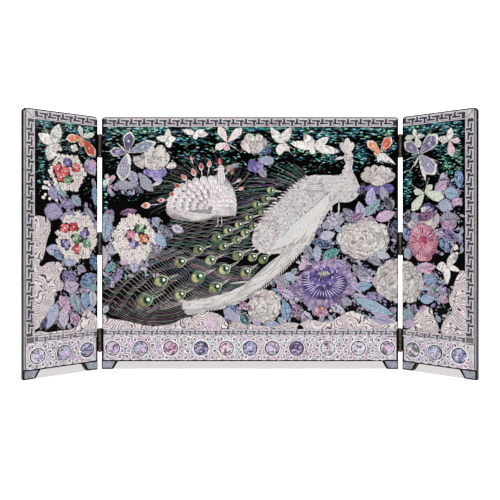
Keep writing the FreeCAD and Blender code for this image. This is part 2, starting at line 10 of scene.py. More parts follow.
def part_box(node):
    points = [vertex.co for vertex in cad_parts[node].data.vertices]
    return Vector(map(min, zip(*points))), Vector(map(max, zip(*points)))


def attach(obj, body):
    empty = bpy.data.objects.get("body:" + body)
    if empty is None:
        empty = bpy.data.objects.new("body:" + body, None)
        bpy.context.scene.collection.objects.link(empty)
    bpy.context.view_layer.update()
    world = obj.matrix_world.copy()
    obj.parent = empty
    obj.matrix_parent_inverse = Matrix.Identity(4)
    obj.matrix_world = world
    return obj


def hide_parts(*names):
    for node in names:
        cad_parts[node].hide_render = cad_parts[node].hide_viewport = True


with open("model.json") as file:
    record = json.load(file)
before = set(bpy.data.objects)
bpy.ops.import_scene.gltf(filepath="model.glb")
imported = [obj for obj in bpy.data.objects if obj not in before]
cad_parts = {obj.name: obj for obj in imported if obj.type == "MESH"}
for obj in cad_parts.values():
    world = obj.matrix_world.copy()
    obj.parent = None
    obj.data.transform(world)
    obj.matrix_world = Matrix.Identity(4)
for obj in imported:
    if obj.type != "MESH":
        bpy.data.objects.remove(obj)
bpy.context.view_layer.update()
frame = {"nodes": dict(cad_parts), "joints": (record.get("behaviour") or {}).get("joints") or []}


# ================================================================ the room
# A pale floor under the screen, a white backdrop, and broad soft lamps in front and above.
# The camera stands level, a little above the middle of the screen.
board_low, board_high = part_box("centre_board")
front = board_low.y

camera_data = bpy.data.cameras.new("camera")
camera_data.lens = 45
camera_data.sensor_width = 36
camera_data.shift_y = -0.031
camera = bpy.data.objects.new("camera", camera_data)
camera.location = (0, front - 0.819, 0.176)
camera.rotation_euler = (radians(90), 0, 0)
bpy.context.collection.objects.link(camera)
bpy.context.scene.camera = camera
bpy.context.scene.view_settings.view_transform = "Standard"

screen_middle, screen_foot = (0, 0, 0.16), (0, 0, 0)
for lamp_name, place, aim, width, depth, watts in (
        ("front_lamp", (-0.5, -1.5, 1.45), screen_middle, 1.6, 0.9, 24.5),
        ("side_lamp", (1.3, -1.2, 1.0), screen_middle, 0.9, 0.9, 8),
        ("top_lamp", (0, -0.1, 1.9), screen_foot, 2.4, 2.0, 29)):
    lamp_data = bpy.data.lights.new(lamp_name, "AREA")
    lamp_data.shape = "RECTANGLE"
    lamp_data.size = width
    lamp_data.size_y = depth
    lamp_data.energy = watts
    lamp = bpy.data.objects.new(lamp_name, lamp_data)
    lamp.location = place
    lamp.rotation_euler = (Vector(aim) - Vector(place)).to_track_quat("-Z", "Y").to_euler()
    bpy.context.collection.objects.link(lamp)


def painted(name, values):
    """A plain paint: a material with values set on its shader, by the sockets' names."""
    paint = bpy.data.materials.new(name)
    paint.use_nodes = True
    for socket, value in values.items():
        paint.node_tree.nodes["Principled BSDF"].inputs[socket].default_value = value
    return paint


def sheet(name, size, paint, place=(0, 0, 0), turn=(0, 0, 0)):
    """A flat square sheet of the room."""
    bpy.ops.mesh.primitive_plane_add(size=size, location=place, rotation=turn)
    bpy.context.object.name = name
    bpy.context.object.data.materials.append(paint)
    return bpy.context.object


bpy.ops.object.select_all(action="DESELECT")
floor_paint = painted("floor_paint", {
    "Base Color": (0.93, 0.925, 0.92, 1), "Roughness": 0.7,
    "Emission Color": (1, 1, 1, 1), "Emission Strength": 0.34})
floor = sheet("floor", 8, floor_paint, (0, 0, -0.0004))
wall_paint = painted("backdrop_paint", {"Emission Color": (1, 1, 1, 1), "Emission Strength": 1})
wall = sheet("backdrop", 8, wall_paint, (0, 3, 2), (radians(90), 0, 0))

# A painted shadow: grey sheets that glow a little lie on the floor behind the boards, where the screen's
# shade falls, as the camera sees it between their feet.
hinge_x, hinge_y = abs(frame["joints"][0]["pos_m"][0]), frame["joints"][0]["pos_m"][1]
shade_paint = painted("shade_paint", {
    "Base Color": (0.02, 0.02, 0.02, 1), "Roughness": 1, "Specular IOR Level": 0,
    "Emission Color": (0.70, 0.67, 0.67, 1), "Emission Strength": 1})
shadow_sheet_depth = 0.066
for left_end, right_end in (
        ((-0.185, front), (0.185, front)),
        ((hinge_x + 0.012, hinge_y - 0.010), (hinge_x + 0.067, hinge_y - 0.056)),
        ((-hinge_x - 0.067, hinge_y - 0.056), (-hinge_x - 0.012, hinge_y - 0.010))):
    shade = sheet("floor_shade", 2, shade_paint)
    for corner in shade.data.vertices:
        end = Vector(left_end if corner.co.x < 0 else right_end)
        away = (end - Vector(camera.location.xy)).normalized() * shadow_sheet_depth
        corner.co = (*(end + away if corner.co.y > 0 else end), 0.0003)

world = bpy.data.worlds.new("white_room")
bpy.context.scene.world = world
world.use_nodes = True
sky = world.node_tree
sky_light = sky.nodes["Background"]
sky_light.inputs["Color"].default_value = (0.92, 0.93, 0.95, 1)
sky_light.inputs["Strength"].default_value = 0.23
backdrop = sky.nodes.new("ShaderNodeBackground")
backdrop.inputs["Color"].default_value = (1, 1, 1, 1)
seen = sky.nodes.new("ShaderNodeLightPath")
blend = sky.nodes.new("ShaderNodeMixShader")
sky.links.new(seen.outputs["Is Camera Ray"], blend.inputs["Fac"])
sky.links.new(sky_light.outputs["Background"], blend.inputs[1])
sky.links.new(backdrop.outputs["Background"], blend.inputs[2])
sky.links.new(blend.outputs["Shader"], sky.nodes["World Output"].inputs["Surface"])


# ================================================================ the lacquered boards
# Three wooden boards under many coats of black lacquer, rubbed to a deep gloss. The last coat
# has a faint ripple, and its shine is a little uneven from handling.
def noise(finish, scale, detail=2.0, twist=0.0):
    """Noise over the whole screen, with so many patches to the metre."""
    tree = finish.node_tree
    where = tree.nodes.new("ShaderNodeTexCoord")
    cloud = tree.nodes.new("ShaderNodeTexNoise")
    for socket, value in (("Scale", scale), ("Detail", detail), ("Distortion", twist)):
        cloud.inputs[socket].default_value = value
    tree.links.new(where.outputs["Object"], cloud.inputs["Vector"])
    return cloud.outputs["Fac"]


def toned(finish, value, tints, first, last):
    """A colour for a value: tints at even steps between two values."""
    ramp = finish.node_tree.nodes.new("ShaderNodeValToRGB")
    stops = ramp.color_ramp.elements
    while len(stops) < len(tints):
        stops.new(0.5)
    for k, tint in enumerate(tints):
        stops[k].position = first + (last - first) * k / (len(tints) - 1)
        stops[k].color = (*tint, 1)
    finish.node_tree.links.new(value, ramp.inputs["Fac"])
    return ramp.outputs["Color"]


def ranged(finish, value, low, high, first=0.0, last=1.0, way="LINEAR"):
    """A value between first and last, stretched to lie between low and high."""
    node = finish.node_tree.nodes.new("ShaderNodeMapRange")
    node.interpolation_type = way
    for socket, number in (("From Min", first), ("From Max", last), ("To Min", low), ("To Max", high)):
        node.inputs[socket].default_value = number
    finish.node_tree.links.new(value, node.inputs["Value"])
    return node.outputs["Result"]


def plug(finish, socket, value):
    """Leads a colour or a value to one socket of the shader."""
    finish.node_tree.links.new(value, finish.node_tree.nodes["Principled BSDF"].inputs[socket])


def embossed(finish, height, strength, distance):
    """Lets a value raise the surface."""
    bump = finish.node_tree.nodes.new("ShaderNodeBump")
    bump.inputs["Strength"].default_value = strength
    bump.inputs["Distance"].default_value = distance
    finish.node_tree.links.new(height, bump.inputs["Height"])
    plug(finish, "Normal", bump.outputs["Normal"])


def coat(node_name, finish):
    """Puts a finish on a piece as it comes from the frame."""
    node = frame["nodes"][node_name]
    node.data.materials.clear()
    node.data.materials.append(finish)
    return node


lacquer = painted("black_lacquer", {"Specular IOR Level": 0.04})
rubbing = noise(lacquer, 18, 4)
blacks = [(0.0004, 0.0004, 0.0005), (0.0016, 0.0013, 0.0016)]
plug(lacquer, "Base Color", toned(lacquer, rubbing, blacks, 0, 1))
plug(lacquer, "Roughness", ranged(lacquer, rubbing, 0.14, 0.34))
embossed(lacquer, noise(lacquer, 260), 0.12, 0.0002)
sides = ("left", "centre", "right")
for side in sides:
    coat(side + "_board", lacquer)


# ================================================================ the butt hinges
# Small solid brass butts between the boards: leaves, pins and countersunk screws. The brass has
# gone brown, and is rubbed brighter where hands touch it.
def old_brass(name, dark, bright, roughness):
    """Brass with brown tarnish in soft patches."""
    finish = painted(name, {"Metallic": 1})
    patches = noise(finish, 340, 5)
    plug(finish, "Base Color", toned(finish, patches, [dark, bright], 0.36, 0.66))
    plug(finish, "Roughness", ranged(finish, patches, roughness + 0.2, roughness))
    return finish


hinge_brass = old_brass("hinge_brass", (0.035, 0.030, 0.025), (0.18, 0.15, 0.105), 0.36)
screw_brass = old_brass("screw_brass", (0.03, 0.025, 0.02), (0.15, 0.12, 0.09), 0.32)
for node_name in frame["nodes"]:
    if node_name.endswith(("_leaf", "_pin")):
        coat(node_name, hinge_brass)
    if node_name.endswith("_screws"):
        coat(node_name, screw_brass)


# ================================================================ the key-fret borders
# Narrow strips of pale lilac shell, sawn into double hooks and set end to end along the tops,
# above the frieze and up the outer side of each wing. Their tint drifts from strip to strip.
def cut_shell(name, tints, patch, roughness=0.3, lines=None, dark=0.35, spread=0.5, grain_and_glint=1.7):
    """Polished shell. Its tint drifts over patches of a size in metres, and steps from part to
    part by the spread. The last argument is how strongly a fine noise lightens and darkens the
    colour: the shell's own grain, with painted glints. Lines is the engraving, as (kind, count):
    "along" and "barbs" follow each part, and "contours" and the finer "swirls" wander."""
    finish = painted(name, {"Specular IOR Level": 0.36, "Coat Weight": 0.12, "Coat Roughness": 0.12})
    nodes, links = finish.node_tree.nodes, finish.node_tree.links

    def step(operation, first, second=None):
        """One sum on numbers or earlier steps."""
        node = nodes.new("ShaderNodeMath")
        node.operation = operation
        for socket, value in zip(node.inputs, (first, second)):
            if isinstance(value, (int, float)):
                socket.default_value = value
            elif value is not None:
                links.new(value, socket)
        return node.outputs["Value"]

    def dimmed(colour, share):
        """A colour scaled by a share."""
        node = nodes.new("ShaderNodeVectorMath")
        node.operation = "SCALE"
        links.new(colour, node.inputs[0])
        links.new(share, node.inputs["Scale"])
        return node.outputs["Vector"]

    drift = noise(finish, 1 / patch, 3, 1.4)
    if spread:
        mark = nodes.new("ShaderNodeAttribute")
        mark.attribute_name = "tint"
        drift = step("ADD", drift, step("MULTIPLY", step("SUBTRACT", mark.outputs["Fac"], 0.5), spread))
    growth_and_glint = noise(finish, 1 / 0.0019, 3)
    relief = growth_and_glint
    # The fine noise lightens and darkens the colour: the shell's grain, and painted glints.
    colour = dimmed(toned(finish, drift, tints, 0.28, 0.72),
                    step("ADD", step("MULTIPLY", growth_and_glint, grain_and_glint), 0.96 - grain_and_glint / 2))
    if lines:
        kind, count = lines
        where = nodes.new("ShaderNodeTexCoord")
        split = nodes.new("ShaderNodeSeparateXYZ")
        links.new(where.outputs["UV"], split.inputs["Vector"])
        if kind == "along":
            place = split.outputs["Y"]
        elif kind == "barbs":
            lean = step("ABSOLUTE", step("SUBTRACT", split.outputs["Y"], 0.5))
            place = step("ADD", split.outputs["X"], lean)
        else:
            place = noise(finish, 1 / (0.03 if kind == "contours" else 0.012), 1, 0.5)
        saw = step("PINGPONG", step("MULTIPLY", place, count), 0.5)
        cut = ranged(finish, saw, dark, 1, 0.04, 0.22, "SMOOTHSTEP")
        colour = dimmed(colour, cut)
        relief = step("ADD", growth_and_glint, cut)
    plug(finish, "Base Color", colour)
    plug(finish, "Roughness", step("ADD", step("MULTIPLY", growth_and_glint, 0.2), roughness - 0.08))
    embossed(finish, relief, 0.3, 0.00012)
    return finish


strip_shell = cut_shell("lilac_strip_shell", [
    (0.32, 0.27, 0.33), (0.50, 0.43, 0.48), (0.44, 0.47, 0.50), (0.54, 0.43, 0.50),
    (0.40, 0.44, 0.45)], 0.02, spread=0)
for side in sides:
    border = coat(side + "_fret_border", strip_shell)


# ================================================================ the foot facings
# Thin grey shell glued on the front of each bracket foot, darker and more purple than the rest.
foot_shell = cut_shell("grey_foot_shell", [
    (0.10, 0.08, 0.12), (0.28, 0.22, 0.30), (0.18, 0.26, 0.28), (0.44, 0.33, 0.42)], 0.006, spread=0)
for side in sides:
    facing = coat(side + "_foot_facings", foot_shell)


# ================================================================ abalone clouds
# Slips of green and blue abalone laid level under the top border, thick above and thinning to
# dust downwards. They are drawn in millimetres on the opened boards, then stood on their board.
half_centre = board_high.x * 1000
wing_edge = half_centre + 3.6
wing_turn = radians(40)
sunk = 0.04
panel_body = {"left": "left_wing", "centre": "centre", "right": "right_wing"}
panel_side = {"left": -1, "centre": 0, "right": 1}
panel_reach = {"left": (-83.6, -1.4), "centre": (1.4 - half_centre, half_centre - 1.4),
               "right": (1.4, 83.6)}


def standing(panel):
    """The matrix from a board's own drawing, in millimetres, to where the board stands."""
    side = panel_side[panel]
    drawing = (Matrix.Translation((0, front, 0)) @ Matrix.Scale(0.001, 4)
               @ Matrix.Translation((side * wing_edge, 0, 0)))
    if side == 0:
        return drawing
    hinge = Vector((side * hinge_x, hinge_y, 0))
    return (Matrix.Translation(hinge) @ Matrix.Rotation(-side * wing_turn, 4, "Z")
            @ Matrix.Translation(-hinge) @ drawing)


def seam_lacquer(name, colour):
    """The plain lacquer that fills the seams between the shells."""
    return painted(name, {"Base Color": (*colour, 1), "Roughness": 0.5, "Specular IOR Level": 0.1})


seam = seam_lacquer("dark_seam", (0.003, 0.0026, 0.0034))
soft_seam = seam_lacquer("soft_seam", (0.052, 0.044, 0.045))
soft_edged = ("white_wing", "white_petal", "white_peony", "bird_shell", "back_feather", "quill",
              "pale", "mauve", "scroll")
blanks = []


def finished_blank(blank, name):
    """Closes a blank. Its sides take the seam, and its length and width become its map."""
    bpy.ops.mesh.select_all(action="SELECT")
    bpy.ops.mesh.normals_make_consistent(inside=False)
    bpy.ops.object.mode_set(mode="OBJECT")
    blank.name = name
    blank.data.materials.append(None)
    blank.data.materials.append(seam)
    for face in blank.data.polygons:
        face.material_index = 0 if face.normal.y < -0.55 else 1
    blank.data.attributes.new("tint", "FLOAT", "FACE")
    if not blank.data.uv_layers:
        blank.data.uv_layers.new(name="UVMap")
    spread = blank.data.uv_layers.active.data
    for loop in blank.data.loops:
        corner = blank.data.vertices[loop.vertex_index].co
        spread[loop.index].uv = (corner.x, corner.z + 0.5)
    bpy.ops.object.shade_smooth_by_angle(angle=radians(40))
    blank.select_set(False)
    blanks.append(blank)
    return blank


def cut_blank(name, corners, profile, edge, steps):
    """A round blank facing the viewer, one unit long from the origin. Its width is set at places
    along it, then it is raised into a plate and rounded over in steps of inset and rise."""
    bpy.ops.object.select_all(action="DESELECT")
    bpy.ops.mesh.primitive_circle_add(vertices=corners, radius=0.5, fill_type="NGON")
    blank = bpy.context.object
    blank.rotation_euler = (radians(90), 0, 0)
    blank.location = (0.5, 0, 0)
    bpy.ops.object.transform_apply(location=True, rotation=True, scale=True)
    bpy.ops.object.mode_set(mode="EDIT")
    for place, width in profile:
        bpy.ops.mesh.select_all(action="DESELECT")
        for vertex in bmesh.from_edit_mesh(blank.data).verts:
            vertex.select_set(abs(vertex.co.x - place) < 0.02)
        bpy.ops.transform.resize(value=(1, 1, width), center_override=(0, 0, 0))
    bpy.ops.mesh.select_all(action="SELECT")
    bpy.ops.mesh.extrude_region_move(TRANSFORM_OT_translate={"value": (0, -edge, 0)})
    for inset, rise in steps:
        bpy.ops.mesh.inset(thickness=inset, depth=rise)
    return finished_blank(blank, name)


def lay(parts, blank, root, tip, width, rise, finish, lift=0.0, edge=None):
    """Adds a copy of a blank, laid from root to tip and standing up to lift + rise."""
    part = blank.copy()
    part.data = blank.data.copy()
    along = Vector((tip[0] - root[0], 0, tip[1] - root[1]))
    across = Vector((-along.z, 0, along.x)).normalized() * width
    shade = random.random()
    place = Matrix((along, Vector((0, rise, 0)), across)).transposed().to_4x4()
    place.translation = (root[0], sunk - lift - 0.06 * shade, root[1])
    part.data.transform(place)
    part.data.materials[0] = finish
    part.data.materials[1] = edge or (soft_seam if finish.name.startswith(soft_edged) else seam)
    mark = part.data.attributes["tint"].data
    mark.foreach_set("value", [shade] * len(mark))
    bpy.context.collection.objects.link(part)
    parts.append(part)


def fit(parts, name, panel, slot, *replaced):
    """Joins a piece's parts, trims it to its board's field, stands it there and lets it ride."""
    bpy.ops.object.select_all(action="DESELECT")
    for part in parts:
        part.select_set(True)
    piece = parts[0]
    bpy.context.view_layer.objects.active = piece
    bpy.ops.object.join()
    low, high = panel_reach[panel]
    reach = [vertex.co.x for vertex in piece.data.vertices]
    if "frieze" not in name and (min(reach) < low or max(reach) > high):
        bpy.ops.object.mode_set(mode="EDIT")
        for edge, way in ((low, -1), (high, 1)):
            bpy.ops.mesh.select_all(action="SELECT")
            bpy.ops.mesh.bisect(plane_co=(edge, 0, 0), plane_no=(way, 0, 0), use_fill=True,
                                clear_outer=True, threshold=0.0001)
        bpy.ops.object.mode_set(mode="OBJECT")
    piece.data.transform(standing(panel))
    piece.name = name
    piece.data.name = name
    piece.select_set(False)
    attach(piece, panel_body[panel])
    if replaced:
        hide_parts(*replaced)


def through(x, z, lean, half):
    """The two ends of a part that lies through a place at a lean."""
    return (x - half * cos(lean), z - half * sin(lean)), (x + half * cos(lean), z + half * sin(lean))


slip = cut_blank("slip_blank", 8, [(0.146, 0.72), (0.854, 0.72)], 0.6, [(0.05, 0.4)])

cloud_shells = [
    cut_shell("teal_abalone", [(0.00, 0.02, 0.025), (0.00, 0.08, 0.085), (0.01, 0.22, 0.20),
                               (0.20, 0.50, 0.44)], 0.006, 0.2),
    cut_shell("blue_abalone", [(0.004, 0.015, 0.03), (0.01, 0.05, 0.10), (0.02, 0.16, 0.26),
                               (0.25, 0.45, 0.50)], 0.006, 0.2),
    cut_shell("green_abalone", [(0.008, 0.015, 0.010), (0.015, 0.07, 0.045), (0.04, 0.22, 0.12),
                                (0.35, 0.48, 0.32)], 0.006, 0.2),
    cut_shell("smoke_abalone", [(0.010, 0.010, 0.014), (0.03, 0.035, 0.045), (0.08, 0.10, 0.11),
                                (0.20, 0.20, 0.20)], 0.006, 0.25),
]
bright_patches = {
    "left": [(-70, 313, 14, 4, 0), (-38, 311, 10, 5, 1), (-12, 312, 8, 5, 2), (-77, 255, 5, 16, 0),
             (-76, 285, 4, 8, 3)],
    "centre": [(-140, 311, 16, 5, 2), (-84, 299, 18, 5, 1), (-116, 312, 12, 3, 0), (-20, 306, 10, 6, 0),
               (2, 315, 20, 3, 0), (68, 313, 10, 4, 1), (100, 305, 14, 7, 0), (72, 286, 16, 7, 2),
               (100, 276, 14, 7, 1), (145, 278, 7, 14, 0), (176, 313, 14, 4, 2), (189, 290, 4, 8, 1),
               (-190, 230, 4, 22, 0), (-188, 300, 8, 8, 3), (-170, 311, 10, 4, 2)],
    "right": [(10, 313, 8, 4, 0), (30, 313, 12, 4, 1), (52, 314, 12, 4, 1), (74, 305, 9, 6, 0),
              (66, 268, 14, 17, 2), (58, 284, 8, 6, 1), (7, 240, 6, 26, 0), (14, 292, 6, 5, 2)],
}
for panel, low_x, high_x, count in (
        ("left", -80, -6, 370), ("centre", -188, 188, 1700), ("right", 6, 80, 370)):
    random.seed(11)
    slips = []
    for k in range(count):
        depth = random.random() ** 1.5
        z = 316.2 - 96 * depth
        x = random.uniform(low_x, high_x)
        length = random.uniform(4, 11) * (1 - 0.72 * depth)
        lean = random.uniform(-0.2, 0.2) + (1.2 * depth * random.uniform(-1, 1))
        shell = random.choices(cloud_shells, (4, 3, 3, 2 + 14 * depth))[0]
        lay(slips, slip, *through(x, z, lean, length / 2), random.uniform(1.1, 2.6) * (1 - 0.55 * depth),
            0.35 + 0.15 * random.random(), shell)
    for x, z, wide, tall, kind in bright_patches[panel]:
        for k in range(int(wide * tall / 2.6)):
            at, away = random.random() * 2 * pi, random.random() ** 0.5
            mid_x, mid_z = x + away * wide * cos(at), z + away * tall * sin(at)
            length, rise = random.uniform(2.5, 6), random.uniform(-0.5, 0.5)
            lay(slips, slip, (mid_x - length / 2, mid_z - rise), (mid_x + length / 2, mid_z + rise),
                random.uniform(1.2, 2.4), 0.45, cloud_shells[kind if k % 3 else (kind + 1) % 3], 0.1)
    for part in slips:
        for corner in part.data.vertices:
            corner.co.z = min(corner.co.z, 317.4)
    fit(slips, panel + "_cloud_slips", panel, "green_abalone", panel + "_abalone_clouds")


# ================================================================ the strands of the train
# Hair-thin wires of shell, bent by hand and laid side by side: they run from the large bird to
# the left edge in waves, part round every eye, and fan out behind both birds.
eye_plan = [
    (-138, 89, 9.0), (-117, 115, 8.0), (-92, 140, 6.8), (-92, 97, 6.6), (-69, 120, 8.4),
    (-68, 156, 6.0), (-52, 142, 6.6), (-46, 106, 7.6), (-34, 130, 7.2), (-16, 148, 6.4),
    (3, 146, 5.6), (17, 143, 5.8), (-6, 126, 6.4), (-44, 172, 6.2), (-29, 181, 5.6),
    (-35, 160, 5.4), (-18, 168, 5.4), (-7, 178, 5.2), (-15, 189, 4.8), (4, 187, 4.6),
    (-2, 198, 4.8), (16, 205, 5.0), (9, 215, 5.0), (20, 223, 5.0), (27, 234, 4.8),
]


def parted(x, z):
    """A point moved out of the way of the eyes, so that the wires flow round them."""
    for eye_x, eye_z, radius in eye_plan:
        away = hypot(x - eye_x, z - eye_z)
        if 0.01 < away < 4 * radius:
            clear = (away ** 2 + (1.12 * radius) ** 2) ** 0.5 / away
            clear = 1 + (clear - 1) * (1 - away / (4 * radius)) ** 0.6
            x, z = eye_x + (x - eye_x) * clear, eye_z + (z - eye_z) * clear
    return x, z


def bowed(start, first, second, end, steps):
    """Points along a curve that leaves start towards first and meets end from second."""
    points = []
    for k in range(steps + 1):
        t = k / steps
        weights = ((1 - t) ** 3, 3 * t * (1 - t) ** 2, 3 * t * t * (1 - t), t ** 3)
        points.append(tuple(sum(w * point[axis] for w, point in zip(weights, (start, first, second, end)))
                            for axis in (0, 1)))
    return points


def oval(x, z, wide, tall, at, share=1.0):
    """A point on an oval, or at a share of its radii."""
    return x + share * wide * cos(at), z + share * tall * sin(at)


wire_shells = [cut_shell(name, tints, 0.01, spread=0) for name, tints in (
    ("green_wire_shell", [(0.03, 0.07, 0.04), (0.24, 0.32, 0.22)]),
    ("purple_wire_shell", [(0.05, 0.02, 0.07), (0.26, 0.13, 0.28)]),
    ("pink_wire_shell", [(0.10, 0.04, 0.07), (0.46, 0.28, 0.33)]),
    ("teal_wire_shell", [(0.006, 0.05, 0.045), (0.06, 0.24, 0.20)]),
    ("cream_wire_shell", [(0.11, 0.10, 0.08), (0.52, 0.48, 0.40)]))]
random.seed(3)
shores = bowed((14, 222), (-6, 190), (0, 168), (4, 150), 12)
shores += bowed((12, 134), (-8, 108), (-34, 92), (-96, 90), 26)
banks = bowed((-100, 196), (-118, 184), (-112, 168), (-126, 156), 9)
banks += bowed((-132, 152), (-160, 148), (-196, 140), (-196, 72), 29)
runs = []
for k, (shore, bank) in enumerate(zip(shores, banks)):
    slope = 0.10 + 0.42 * k / len(shores)
    span = shore[0] - bank[0]
    line = bowed(shore, (shore[0] - 0.35 * span, shore[1] - 0.35 * span * slope),
                 (bank[0] + 0.5 * span, bank[1] + 4), bank, int(span / 2))
    for twin, weight in enumerate((1.1, 0.35, 0.55)):
        wave = []
        for x, z in line:
            swing = 0.8 if z > 160 else 0.8 + 2.3 * min(1, max(0, (-60 - x) / 60))
            lilt = sin(2 * pi * (x / (17.0 + 0.1 * k) + k * 0.16 + twin * 0.09)) * swing
            wave.append(parted(x, z + lilt + 1.15 * twin))
        runs.append((wave, random.choices(range(5), (5, 4, 4, 4, 6))[0], weight * random.uniform(0.8, 1.2)))
for k in range(15):
    wide, tall = (16 + 3.2 * k) * 1.15, 8 + 2.0 * k
    bend = [oval(-120, 92, wide, tall, (turn / 12 + 1.02) * pi) for turn in range(12)]
    runs.append(([parted(x, z) for x, z in bend if z > 57], (0, 2, 1, 4)[k % 4], 0.9))
for k in range(92):
    turn = radians(103 + 1.1 * k)
    near_end = 46 + 12 * sin(k * 1.7) + (22 if k > 34 else 0)
    length = 22 + 18 * random.random()
    ray = [parted(*oval(88, 216, 1, 0.72, turn + 0.02 * j, near_end + length * j / 8)) for j in range(9)]
    runs.append((ray, random.choices(range(5), (4, 3, 2, 4, 3))[0], random.uniform(0.5, 0.9)))
for k in range(84):
    turn = radians(22 + 2.0 * k)
    near_end = 38 + 3 * sin(k * 2.1)
    length = 18 + 14 * random.random()
    ray = [oval(-58, 220, 1.12, 0.92, turn + 0.03 * j, near_end + length * j / 6) for j in range(7)]
    runs.append((ray, random.choices(range(5), (5, 3, 1, 5, 1))[0], 0.45))

wire_radius = 0.28
bpy.ops.object.select_all(action="DESELECT")
bpy.ops.curve.primitive_bezier_curve_add()
wires = bpy.context.object
wires.data.splines.clear()
wires.data.bevel_depth = wire_radius
wires.data.bevel_resolution = 0
wires.data.use_fill_caps = True
for shell in wire_shells:
    wires.data.materials.append(shell)
for points, shell_number, weight in runs:
    run = wires.data.splines.new("POLY")
    run.points.add(len(points) - 1)
    for k, (x, z) in enumerate(points):
        run.points[k].co = (x, -0.16, z, 1)
        run.points[k].radius = 0.35 if k in (0, len(points) - 1) else weight
    run.material_index = shell_number
wires.location = (0, 0, 0)
bpy.ops.object.convert(target="MESH")
bpy.ops.object.shade_smooth_by_angle(angle=radians(100))
fit([bpy.context.object], "train_strands", "centre", "grey_shell")


# ================================================================ rocks
# Plates of white and pink shell with the rock's folds engraved and inked, under the flowers.
def plate(points, thick, finish, lift=0.0, edge=0.25):
    """A flat plate sawn to a smooth closed outline, with a softened dark edge."""
    bpy.ops.object.select_all(action="DESELECT")
    bpy.ops.curve.primitive_bezier_circle_add()
    drawn = bpy.context.object
    drawn.data.dimensions = "2D"
    drawn.data.fill_mode = "BOTH"
    drawn.data.resolution_u = 5
    drawn.data.splines.clear()
    outline = drawn.data.splines.new("BEZIER")
    outline.bezier_points.add(len(points) - 1)
    outline.use_cyclic_u = True
    for point, (x, z) in zip(outline.bezier_points, points):
        point.co = (x, z, 0)
        point.handle_left_type = point.handle_right_type = "AUTO"
    drawn.data.extrude = thick / 2 - edge
    drawn.data.bevel_depth = edge
    drawn.data.offset = -edge
    drawn.data.bevel_resolution = 0
    bpy.ops.object.convert(target="MESH")
    drawn = bpy.context.object
    bpy.ops.object.mode_set(mode="EDIT")
    bpy.ops.mesh.select_all(action="SELECT")
    bpy.ops.mesh.remove_doubles(threshold=0.001)
    bpy.ops.mesh.normals_make_consistent(inside=False)
    bpy.ops.object.mode_set(mode="OBJECT")
    stand = Matrix.Translation((0, sunk - lift - thick / 2, 0)) @ Matrix.Rotation(radians(90), 4, "X")
    drawn.data.transform(stand)
    drawn.data.materials.clear()
    drawn.data.materials.append(finish)
    drawn.data.materials.append(seam)
    for face in drawn.data.polygons:
        face.material_index = 0 if face.normal.y < -0.8 else 1
    mark = drawn.data.attributes.new("tint", "FLOAT", "FACE").data
    mark.foreach_set("value", [random.random()] * len(mark))
    for loop in drawn.data.uv_layers.new(name="UVMap").data:
        loop.uv = (0.1, 0.125)
    drawn.select_set(False)
    return drawn


rock_shell = cut_shell("folded_rock_shell", [
    (0.38, 0.31, 0.32), (0.62, 0.55, 0.52), (0.50, 0.40, 0.46), (0.64, 0.59, 0.54), (0.56, 0.49, 0.53)],
    0.012, lines=("contours", 24), dark=0.03, spread=0.2, grain_and_glint=1.5)
rock_plan = {
    "left": [
        [(-84, 198), (-77, 199), (-66, 194), (-64, 182), (-68, 170), (-71, 156), (-74, 145), (-78, 139),
         (-75, 137), (-69, 141), (-60, 142), (-52, 141), (-48, 134), (-52, 124), (-51, 118), (-47, 113),
         (-50, 106), (-58, 104), (-59, 92), (-67, 80), (-73, 68), (-80, 61), (-85, 60), (-86, 130)],
        [(-84, 52), (-82, 57), (-66, 55), (-50, 56), (-34, 57), (-25, 66), (-17, 79), (-8, 74),
         (-1, 66), (-1, 52), (-40, 52)],
    ],
    "centre": [
        [(-194, 52), (-194, 71), (-182, 66), (-166, 64), (-150, 60), (-134, 57), (-116, 57),
         (-100, 60), (-88, 66), (-76, 69), (-62, 74), (-48, 74), (-37, 69), (-31, 62), (-28, 52)],
        [(62, 52), (66, 60), (84, 64), (100, 61), (112, 66), (122, 72), (134, 76), (146, 72),
         (156, 66), (170, 68), (192, 62), (194, 52)],
        [(-30, 52), (-26, 59), (-10, 62), (6, 58), (22, 57), (40, 60), (54, 61), (66, 58), (70, 52)],
    ],
    "right": [
        [(8, 52), (9, 62), (16, 68), (22, 77), (33, 84), (41, 82), (43, 74), (48, 66), (49, 52)],
        [(54, 52), (55, 64), (60, 73), (67, 82), (63, 94), (68, 106), (72, 121), (82, 132), (86, 110),
         (86, 52)],
    ],
}
for panel, outlines in rock_plan.items():
    random.seed(2)
    stones = [plate(outline, 0.9, rock_shell) for outline in outlines]
    for stone in stones:
        for corner in stone.data.vertices:
            corner.co.z = max(corner.co.z, 52.4)
    fit(stones, panel + "_rock_plates", panel, "rock_shell", panel + "_rocks")


# ================================================================ leaves
# Leaves sawn from purple, blue and lilac abalone with their veins cut in, glued down close
# together with their tips crossing.
leaf = cut_blank("leaf_blank", 12, [(0.067, 0.8), (0.25, 1.02), (0.5, 1.0), (0.75, 0.82), (0.933, 0.5)],
    0.6, [(0.022, 0.28), (0.14, 0.12)])

